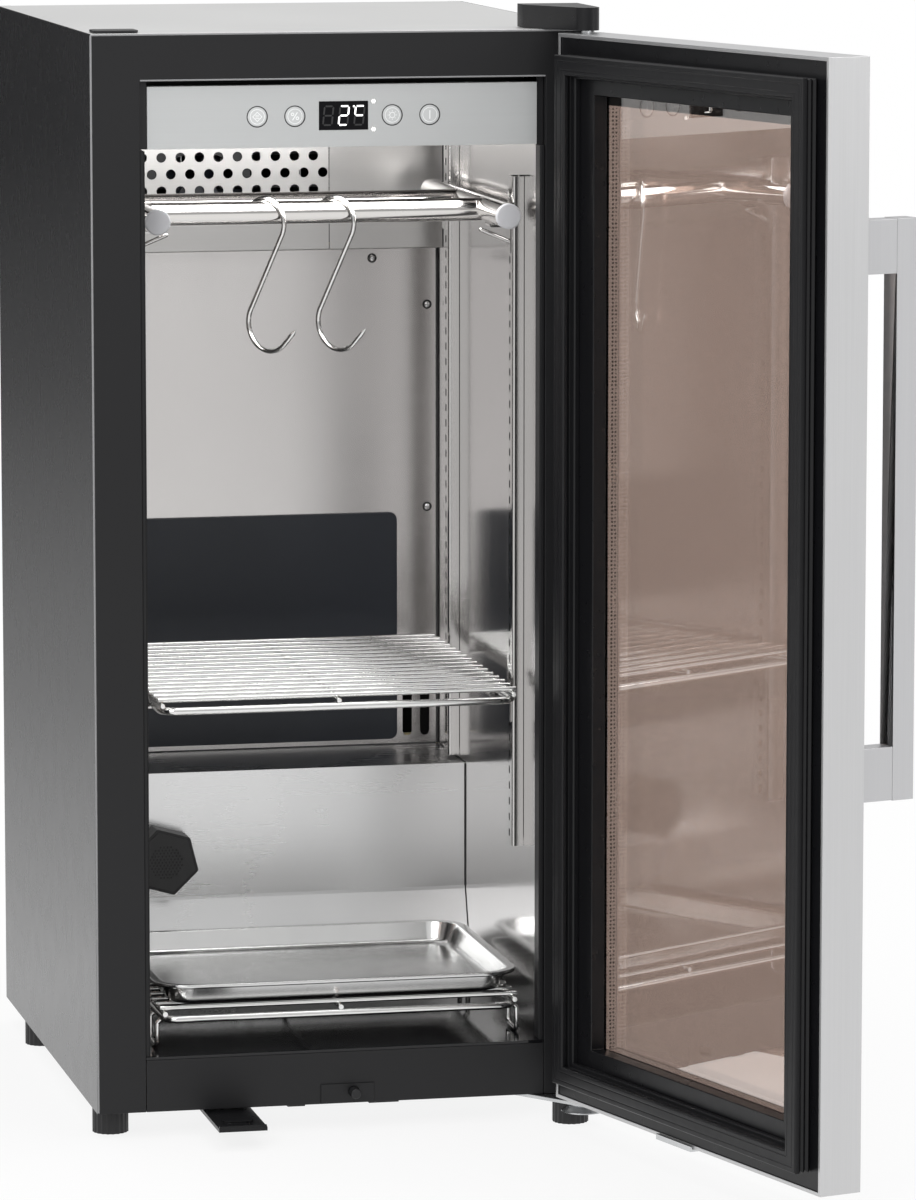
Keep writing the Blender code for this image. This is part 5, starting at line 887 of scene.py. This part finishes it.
def wire_grid(node, z):
    """A frame wire with rounded corners, three stiffeners across it and thin wires welded on top."""
    low, high = extent(node)
    front = low.y + FRAME_WIRE
    rear = high.y - FRAME_WIRE
    bm = bmesh.new()
    loop = rounded_rectangle(WIRE_LEFT, front, WIRE_RIGHT, rear, WIRE_CORNER)
    wire(bm, [(x, y, z) for x, y in loop], FRAME_WIRE, closed=True)
    stiffener_z = z + FRAME_WIRE + THIN_WIRE - WELD
    thin_z = stiffener_z + THIN_WIRE * 2 - WELD
    for x in (WIRE_LEFT, (WIRE_LEFT + WIRE_RIGHT) / 2, WIRE_RIGHT):
        rod(bm, (x, front - THIN_WIRE, stiffener_z), (x, rear + THIN_WIRE, stiffener_z), THIN_WIRE, 16)
    y = front + WIRE_INSET
    while y < rear - 1:
        rod(bm, (WIRE_LEFT - FRAME_WIRE, y, thin_z), (WIRE_RIGHT + FRAME_WIRE, y, thin_z), THIN_WIRE, 16)
        y += WIRE_PITCH
    return bm, front, rear


def wire_shelf():
    bm = wire_grid("wire_shelf", SHELF_Z)[0]
    piece("shelf_wires", bm, WIRE_STEEL, "shelf", stands_for=["wire_shelf"], rounding=0.5)


def bottom_rack():
    """The lower rack stands on four bent wire legs."""
    bm, front, rear = wire_grid("bottom_rack", RACK_Z)
    bottom = RACK_FLOOR + THIN_WIRE
    for inner, outer in ((WIRE_LEFT, WIRE_LEFT - LEG_OUT), (WIRE_RIGHT, WIRE_RIGHT + LEG_OUT)):
        for near in (front + WIRE_CORNER, rear - WIRE_CORNER - LEG_LENGTH):
            far = near + LEG_LENGTH
            route = [(inner, near, RACK_Z), (outer, near, RACK_Z - LEG_OUT), (outer, near, bottom)]
            route += [(outer, far, bottom), (outer, far, RACK_Z - LEG_OUT), (inner, far, RACK_Z)]
            wire(bm, rounded_route(route, [1.5, 5, 5, 1.5]), THIN_WIRE)
    piece("rack_wires", bm, WIRE_STEEL, "rack", stands_for=["bottom_rack"], rounding=0.5)


def drip_tray():
    """A pressed tray: a flat bottom, a wide fillet, sloping walls and a rim that is turned down."""
    low, high = extent("drip_tray")
    rim = high.z - TRAY_SHEET
    points = [(24, low.z), (13, low.z), (6.6, rim), (0, rim), (0, rim - 3)]
    outlines = []
    for inset, z in rounded_route(points, [6.5, 1.4, 0.9], 7):
        corner = rounded_rectangle(
            low.x + inset, low.y + inset, high.x - inset, high.y - inset, TRAY_CORNER - inset, 10
        )
        outlines.append([(x, y, z) for x, y in corner])
    bm = bmesh.new()
    skin(bm, outlines)
    rim_edges = [edge for edge in bm.edges if edge.is_boundary]
    bmesh.ops.holes_fill(bm, edges=[edge for edge in rim_edges if edge.verts[0].co.z < low.z + 0.01])
    bmesh.ops.recalc_face_normals(bm, faces=bm.faces)
    made = piece("tray_pressing", bm, TRAY_STEEL, "tray", stands_for=["drip_tray"], smooth=50, fix=False)
    wall = made.modifiers.new("Sheet", "SOLIDIFY")
    wall.thickness = TRAY_SHEET * MM
    wall.offset = -1


def hanging_frame():
    """Two side tubes with plastic plugs, and two cross tubes between them, each with a weld at its ends."""
    tubes = bmesh.new()
    front, rear = TUBE_Y
    plug = turned([(0, 2.0), (8.4, 2.0), (9.4, 1.6), (CAP_RADIUS, 0.7), (CAP_RADIUS, -2.0), (0, -2.0)], 48)
    for x in TUBE_X:
        rod(tubes, (x, front, TUBE_Z), (x, rear, TUBE_Z), TUBE_RADIUS, 48)
    for y in CROSS_Y:
        rod(tubes, (TUBE_X[0], y, TUBE_Z), (TUBE_X[1], y, TUBE_Z), CROSS_RADIUS, 48)
        for x, way in zip(TUBE_X, (1, -1)):
            seat = x + way * TUBE_RADIUS * 0.98
            rod(tubes, (seat - way, y, TUBE_Z), (seat + way * 0.6, y, TUBE_Z), CROSS_RADIUS + 0.35, 48)
    piece("hanging_tubes", tubes, TUBE_STEEL, "hanger", stands_for=["hanging_frame"], rounding=0.3)
    caps = stamped(plug, "front", [(x, front, TUBE_Z) for x in TUBE_X])
    piece("tube_plugs", caps, CAP_PLASTIC, "hanger")


def hook_route():
    """The S shape in its own plane, across it and up from the middle of its upper bend."""
    away = Vector((HOOK_SHIFT, -HOOK_DROP))
    lean = math.asin((HOOK_UPPER + HOOK_LOWER) / away.length) + math.atan2(HOOK_SHIFT, HOOK_DROP)
    upper = arc((0, 0), HOOK_UPPER, math.pi, -lean, 22)
    lower = arc(away, HOOK_LOWER, math.pi - lean, math.tau + HOOK_POINT, 24)
    tip = Vector((HOOK_TIP, HOOK_TIP)) / math.sqrt(2)
    return upper + lower + [Vector(lower[-1]) + tip * share for share in (0.35, 0.69, 0.74, 1)]


def hooks():
    """Two wire hooks on the front cross tube, each ground to a point at its lower end."""
    bend_z = TUBE_Z + CROSS_RADIUS + GAP + HOOK_WIRE - HOOK_UPPER
    across = Vector((math.cos(HOOK_TURN), math.sin(HOOK_TURN), 0))
    for side, x in HOOK_X.items():
        start = Vector((x, CROSS_Y[0], bend_z))
        route = [start + across * a + Vector((0, 0, b)) for a, b in hook_route()]
        bm = bmesh.new()
        wire(bm, route, HOOK_WIRE, shares=[1] * (len(route) - 2) + [0.93, 0.06])
        piece(f"hook_{side}_wire", bm, WIRE_STEEL, f"{side}_hook", stands_for=[f"hook_{side}"])


def charcoal_filter():
    """A six-sided cartridge with a raised border and a round field of holes."""
    low, high = extent("charcoal_filter")
    front = low.y
    back = front + FILTER_DEPTH
    tail = high.y - back
    corners = arc((FILTER_X, FILTER_Z), FILTER_SIDE - 0.4, FILTER_TILT, FILTER_TILT + math.tau, 6)[:-1]
    outline = rounded_route(corners[-1:] + corners + corners[:1], 2.4, 4)[1:-1]
    bm = bmesh.new()
    plate(bm, outline, "XZ", front + 0.8, back)
    piece("filter_case", bm, FILTER_CASE, "filter", stands_for=["charcoal_filter"], rounding=0.9, segments=3)
    middle = Vector((FILTER_X, FILTER_Z))
    face = bmesh.new()
    plate(face, [middle + (point - middle) * 0.9 for point in outline], "XZ", front, front + 1.2)
    holes = bmesh.new()
    rows = int(FILTER_GRILLE / FILTER_PITCH) + 1
    for row in range(-rows, rows + 1):
        shift = FILTER_PITCH / 2 if row % 2 else 0
        for column in range(-rows, rows + 1):
            x = FILTER_PITCH * column + shift
            z = FILTER_PITCH * math.sin(math.pi / 3) * row
            if math.hypot(x, z) + FILTER_HOLE < FILTER_GRILLE:
                start = (FILTER_X + x, front - 1, FILTER_Z + z)
                rod(holes, start, (start[0], front + 4, start[2]), FILTER_HOLE, 10)
    piece("filter_face", cut(face, holes), FILTER_FACE, "filter")
    spigot = turned([(0, tail), (14.2, tail), (15, tail - 1), (15, -0.5), (0, -0.5)], 40)
    bm = stamped(spigot, "back", [(FILTER_X, back, FILTER_Z)])
    piece("filter_spigot", bm, MATT_PLASTIC, "filter")


# Control panel

def print_plate(bm, outline, front, holes=()):
    """A printed mark that stands a hair proud of the face behind it."""
    plate(bm, outline, "XZ", front - PRINT, front, holes)


# The rings of each key's mark as middle, outer radius, inner radius and sides
RINGS = {
    "mode": [((0, 0), 3.9, 3.2, 4)],
    "humidity": [((1.9, -1.5), 1.35, 0.7, 24), ((-1.9, 1.5), 1.35, 0.7, 24)],
    "light": [((0, 0), 2.3, 1.75, 48)],
    "power": [],
}
# The bars of each key's mark as middle, half length, half width and turn
BARS = {
    "mode": [((0, rise), 1.5, 0.22, 0) for rise in (-1.2, 0, 1.2)],
    "humidity": [((0, 0), 3.6, 0.36, math.radians(58))],
    "light": [(place, 0.5, 0.22, math.tau * step / 8) for step, place in enumerate(circle((0, 0), 3.2, 8))],
    "power": [((0, 0), 3.3, 0.42, math.pi / 2)],
}


def print_mark(name, x):
    """The printed mark of a key and the ring about it."""
    bm = bmesh.new()
    for (a, b), outer, inner, sides in RINGS[name] + [((0, 0), 5.75, 5.35, 48)]:
        centre = (x + a, KEY_Z + b)
        print_plate(bm, circle(centre, outer, sides), KEY_FRONT_Y, [circle(centre, inner, sides)])
    for place, half_length, half_width, turn in BARS[name]:
        across = Vector((math.cos(turn), math.sin(turn)))
        upwards = Vector((-across.y, across.x))
        middle = Vector(place) + Vector((x, KEY_Z))
        corners = rectangle(-half_length, -half_width, half_length, half_width)
        print_plate(bm, [middle + across * a + upwards * b for a, b in corners], KEY_FRONT_Y)
    return bm


def keys():
    """Round keys with a dished edge, each with its printed mark, and the fascia's dark rings about them."""
    rings = bmesh.new()
    for name, x in KEY_X.items():
        low, high = extent(f"button_{name}")
        depth = high.y - low.y
        profile = [(0, 0), (6.7, 0), (7.1, -0.1), (KEY_RADIUS, -0.5), (KEY_RADIUS, -1.9), (8.7, -1.9)]
        profile += [(8.7, -3.1), (3, -3.1), (3, -depth), (0, -depth)]
        body = f"{name}_key"
        bm = stamped(turned(profile, 64), "front", [(x, KEY_FRONT_Y, KEY_Z)])
        piece(f"{name}_key_cap", bm, KEY_PLASTIC, body, stands_for=[f"button_{name}"], smooth=25)
        piece(f"{name}_key_mark", print_mark(name, x), MARK_PRINT, body)
        inner = circle((x, KEY_Z), KEY_RADIUS + 0.12, 48)
        plate(rings, circle((x, KEY_Z), KEY_RADIUS + 0.75, 48), "XZ", FASCIA_Y - 0.12, FASCIA_Y, [inner])
    piece("key_rings", rings, MATT_PLASTIC)


SEGMENTS = {
    "top": ((0, 2), (1, 2)),
    "upper_left": ((0, 1), (0, 2)),
    "upper_right": ((1, 1), (1, 2)),
    "middle": ((0, 1), (1, 1)),
    "lower_left": ((0, 0), (0, 1)),
    "lower_right": ((1, 0), (1, 1)),
    "bottom": ((0, 0), (1, 0)),
}
LIT = (
    (),
    ("top", "upper_right", "middle", "lower_left", "bottom"),
    ("top", "upper_left", "middle"),
)


def segment(start, end, half=0.62, gap=0.45):
    """A pointed bar of a display digit."""
    along = (Vector(end) - Vector(start)).normalized()
    across = Vector((-along.y, along.x)) * half
    first = Vector(start) + along * gap
    last = Vector(end) - along * gap
    near = first + along * half
    far = last - along * half
    points = [first, near + across, far + across, last, far - across, near - across]
    return [(point.x + (point.y - DIGIT_Z) * DIGIT_SLANT, point.y) for point in points]


def display():
    """Three seven-segment digits behind a dark window, which show a temperature, and two lamps beside it."""
    lit = bmesh.new()
    dim = bmesh.new()
    for left, names in zip(DIGIT_X, LIT):
        for name, ends in SEGMENTS.items():
            places = [(left + a * DIGIT_WIDTH, DIGIT_Z + b * DIGIT_HEIGHT / 2) for a, b in ends]
            print_plate(lit if name in names else dim, segment(*places), DISPLAY_FRONT_Y)
    dot = (DIGIT_X[2] - 1.6 + DIGIT_HEIGHT * DIGIT_SLANT, DIGIT_Z + DIGIT_HEIGHT - 0.2)
    print_plate(lit, circle(dot, 0.75, 12), DISPLAY_FRONT_Y)
    piece("display_lit", lit, DIGIT)
    piece("display_unlit", dim, GHOST)
    dome = turned([(0, 0.35), (1.0, 0.3), (1.7, 0.1), (1.9, -0.25), (0, -0.25)], 6)
    places = [(LAMP_X, FASCIA_Y - 0.25, z) for z in LAMP_Z]
    piece("status_lamps", stamped(dome, "front", places), LENS)


def lamp_strip():
    """The diffuser of the cavity lamp, under the control housing."""
    bm = bmesh.new()
    plate(bm, rounded_rectangle(95, 28, 300, 44, 4, 4), "XY", HOUSING_BOTTOM - 1.2, HOUSING_BOTTOM - 0.1)
    piece("lamp_diffuser", bm, LENS, rounding=0.4)


# Door

def door_gasket():
    """A magnetic seal: ribbed sides, a flat head with two grooves and a soft lip beside the window."""
    points = [
        (1.2, 16.2), (0.2, 17.6), (1.9, 19.6), (0.3, 21.8), (1.6, 23.8), (0.1, 25.2), (0.1, 28.7),
        (1.0, 29.5), (3.8, 29.5), (4.4, 29.0), (5.0, 29.5), (10.6, 29.5), (11.2, 29.0), (11.8, 29.5),
        (13.9, 29.4), (15.2, 28.4), (15.3, 25.6), (13.6, 24.0), (13.3, 22.4), (14.8, 21.4), (17.2, 21.0),
        (17.9, 19.8), (17.6, 16.2),
    ]
    profile = rounded_route(points, 0.5, 3)
    outlines = []
    for x, z in rectangle(*GASKET_LOW, *GASKET_HIGH):
        right = 1 if x == GASKET_LOW[0] else -1
        up = 1 if z == GASKET_LOW[1] else -1
        outlines.append([(x + right * inset, level, z + up * inset) for inset, level in profile])
    bm = bmesh.new()
    skin(bm, outlines, ring=True)
    piece("gasket_seal", bm, GASKET, "door", DOOR, stands_for=["door_gasket"], smooth=50)


def pane_band():
    """The dark printed border along the top of the inner pane."""
    bm = bmesh.new()
    low = (WINDOW_LEFT, PANE_BACK_Y - 0.12, WINDOW_TOP - 8)
    block(bm, low, (WINDOW_RIGHT, PANE_BACK_Y - 0.02, WINDOW_TOP + 4))
    piece("pane_border", bm, PANE_BAND, "door", DOOR, rounding=0.02)


def bracket_fittings():
    """Collar of the lower hinge pin, nut of the foot on its bracket, and the dish under the bracket."""
    under = -0.35
    collar = turned([(4.2, 0), (8.2, 0), (8.2, 0.8), (7.4, 1.5), (4.2, 1.5), (4.2, 0)], 40)
    nut = turned([(0, 1.4), (3.6, 1.4), (5.0, 1.1), (5.4, 0.0), (0, 0)], 6)
    profile = [(5, -3.1), (9.5, -3.1), (12.5, -3.9), (14.6, -6.2), (17.4, -6.9), (17.8, -7.5), (17.2, -7.9)]
    dish = turned(profile + [(14.0, -7.3), (11.8, -4.9), (9.2, -4.2), (5, -4.2), (5, -3.1)], 56)
    piece("pin_collar", stamped(collar, "up", [(*AXIS, under)]), ZINC_PLATE)
    piece("bracket_nut", stamped(nut, "up", [(*FOOT, under)]), SCREW_STEEL, rounding=0.2)
    clear = bmesh.new()
    rod(clear, (*FOOT, -12), (*FOOT, 4), FOOT_CLEARANCE, 56)
    piece("bracket_dish", cut(stamped(dish, "up", [(*AXIS, 0)]), clear), ZINC_PLATE)


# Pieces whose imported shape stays, with a finish or with rounded edges

CARRIED = {
    ZINC_SHEET: ["rear_panel", "base_pan"],
    FOAM: ["insulation_foam"],
    WALL_STEEL: ["cavity_liner"],
    REAR_STEEL: ["cavity_rear_panel"],
    STEP_STEEL: ["compressor_step_liner"],
    FLOOR_GLOSS: ["cavity_floor"],
    SCREEN: ["control_board"],
    MATT_PLASTIC: [
        "condenser_fan_housing", "evaporator_fan_housing", "evaporation_pan", "power_cable_gland",
    ],
    ENAMEL: ["compressor", "condenser_coil"],
    FIN_METAL: ["evaporator_coil"],
    DUCT_PLASTIC: ["condenser_fan_rotor", "evaporator_fan_rotor"],
    SPACER_METAL: ["glass_spacer"],
    PANE: ["door_outer_pane", "door_inner_pane"],
    ZINC_PLATE: ["hinge_bracket_top"],
}

SOFTENED = [
    (SIDE_PAINT, 0.3, ["side_panel_left", "side_panel_right"]),
    (TOP_PAINT, 0.3, ["top_panel"]),
    (FRAME_PAINT, 0.4, ["front_frame", "plinth_panel"]),
    (FRAME_PAINT, 0.3, ["pin_access_cover"]),
    (DUCT_PLASTIC, 0.8, ["air_duct_panel"]),
    (MATT_PLASTIC, 0.3, ["control_housing"]),
    (FASCIA_PAINT, 0.5, ["control_fascia"]),
    (SHINY_PLASTIC, 0.8, ["hinge_cover"]),
    (MATT_PLASTIC, 0.6, ["hinge_hole_cover"]),
    (ZINC_PLATE, 0.9, ["hinge_bracket_bottom"]),
    (SHINY_PLASTIC, 0.8, ["door_inner_frame"]),
    (DOOR_STEEL, 0.35, ["door_skin"]),
    (HANDLE_METAL, 0.6, ["door_handle"]),
    (ZINC_PLATE, 0.4, ["door_strike_plate"]),
    (SHINY_PLASTIC, 0.5, ["foot_pedal"]),
    (MATT_PLASTIC, 0.6, ["push_pin"]),
    (MATT_PLASTIC, 0.4, ["foot_front_left", "foot_front_right", "foot_rear_left", "foot_rear_right"]),
]


# Studio

def cleared(owner):
    """The empty node tree of a material or world."""
    owner.use_nodes = True
    owner.node_tree.nodes.clear()
    return owner.node_tree


def ray_kinds(tree, *kinds):
    """1 for rays of the kinds named, and 0 for all others."""
    rays = tree.nodes.new("ShaderNodeLightPath")
    first, *others = [Value(tree, rays.outputs[f"Is {kind} Ray"]) for kind in kinds]
    for other in others:
        first = first + other
    return first.math("MINIMUM", 1)


def staged(name, bm):
    """A mesh of the studio and the empty node tree of its material."""
    mesh = mesh_from(bm, name)
    made = bpy.data.materials.new(name)
    mesh.materials.append(made)
    thing = shown(name, mesh)
    return thing, cleared(made)


def studio_world():
    """A soft grey sky for mirrors and diffuse light, and plain white where the eye or glass meets it."""
    world = bpy.data.worlds.new("studio")
    bpy.context.scene.world = world
    tree = cleared(world)
    direction = add(tree, "ShaderNodeTexCoord", output="Generated")
    height = add(tree, "ShaderNodeSeparateXYZ", {0: direction}, "Z")
    sky = add(tree, "ShaderNodeValToRGB", {0: height * 0.5 + 0.5}, stops=SKY)
    values = {"Factor": ray_kinds(tree, "Camera", "Transmission"), "A": sky, "B": (1, 1, 1, 1)}
    colour = add(tree, "ShaderNodeMix", values, "Result", data_type="RGBA")
    ground = add(tree, "ShaderNodeBackground", {"Color": colour, "Strength": 1.0})
    add(tree, "ShaderNodeOutputWorld", {"Surface": ground})


def studio_floor():
    """A white floor that is a shade darker under and about the cabinet."""
    bm = bmesh.new()
    bmesh.ops.create_circle(bm, cap_ends=True, segments=96, radius=14)
    tree = staged("floor", bm)[1]
    place = add(tree, "ShaderNodeTexCoord", output="Object")
    distance = add(tree, "ShaderNodeVectorMath", {0: place}, "Value", operation="LENGTH")
    values = {"Value": distance, "From Min": 0.5, "From Max": 2.2, "To Min": 0.85, "To Max": 1.0}
    clean = add(tree, "ShaderNodeMapRange", values)
    lit = add(tree, "ShaderNodeBsdfDiffuse", {"Color": (0.8, 0.8, 0.8, 1)})
    white = add(tree, "ShaderNodeEmission", {"Strength": 1.0})
    direct = ray_kinds(tree, "Camera", "Glossy", "Transmission")
    mixed = add(tree, "ShaderNodeMixShader", {0: direct * clean, 1: lit, 2: white})
    add(tree, "ShaderNodeOutputMaterial", {"Surface": mixed})


def lamp(name, place, target, size, power):
    """A soft box that shines at a point."""
    data = bpy.data.lights.new(name, "AREA")
    data.shape = "RECTANGLE"
    data.size, data.size_y = size
    data.energy = power
    made = shown(name, data)
    made.location = place
    made.rotation_euler = (Vector(target) - Vector(place)).to_track_quat("-Z", "Y").to_euler()
    return made


def card(name, low, high, stops):
    """A board that only mirrors see, graded from its foot to its top, which lean by the corners given."""
    middle = (Vector(low) + Vector(high)) / 2
    across = Vector((high[0] - low[0], 0, 0, 0))
    upwards = Vector((0, high[1] - low[1], high[2] - low[2], 0))
    place = Matrix((across, upwards, (0, 0, 0, 0), middle.to_4d())).transposed()
    bm = bmesh.new()
    bmesh.ops.create_grid(bm, x_segments=1, y_segments=1, size=0.5, matrix=place)
    board, tree = staged(name, bm)
    point = add(tree, "ShaderNodeTexCoord", output="Object")
    height = add(tree, "ShaderNodeSeparateXYZ", {0: point}, "Z")
    share = (height - low[2]) * (1 / (high[2] - low[2]))
    shade = add(tree, "ShaderNodeValToRGB", {0: share}, stops=stops)
    glow = add(tree, "ShaderNodeEmission", {"Color": shade})
    add(tree, "ShaderNodeOutputMaterial", {"Surface": glow})
    board.visible_camera = False
    board.visible_diffuse = False
    board.visible_transmission = False
    board.visible_shadow = False


def camera():
    data = bpy.data.cameras.new("camera")
    data.lens = 194.96
    data.sensor_width = 36
    data.clip_end = 100
    made = shown("camera", data)
    made.location = (-1.071486, -4.930887, 1.1081)
    made.rotation_euler = (math.radians(82.13), 0, math.radians(-12.49))
    bpy.context.scene.camera = made


def studio():
    bpy.context.scene.view_settings.view_transform = "Standard"
    camera()
    studio_world()
    studio_floor()
    lamp("front_box", (-2.2, -3.0, 2.6), (0, 0, 0.45), (1.6, 1.6), 60)
    lamp("right_box", (2.6, -1.6, 1.9), (0.1, 0, 0.4), (1.2, 1.8), 30)
    lamp("top_box", (0.2, 0.2, 3.0), (0, 0, 0.5), (1.8, 1.8), 24)
    start = CABINET @ Vector(CAVITY_LAMP)
    inside = lamp("cavity_light", start, CABINET @ Vector(CAVITY_TARGET), (0.26, 0.09), CAVITY_WATTS)
    inside.visible_camera = False
    card("side_board", (-1.4, 0.55, 0.01), (-0.3, 2.6, 1.3), SIDE_BOARD)


for finish, names in CARRIED.items():
    for node_name in names:
        dress(frame["nodes"][node_name].data, finish)
for finish, width, names in SOFTENED:
    for node_name in names:
        softened(node_name, finish, width)
for build in (
    edge_beads, painted_shade_sheets, corner_seals, opening_trims, step_foot, wall_screws, back_screws, plinth_tabs,
    evaporator_cover, shelf_rails, clip_tongues, wire_shelf, bottom_rack, drip_tray, hanging_frame, hooks,
    charcoal_filter, keys, display, lamp_strip, door_gasket, pane_band, bracket_fittings, studio,
):
    build()
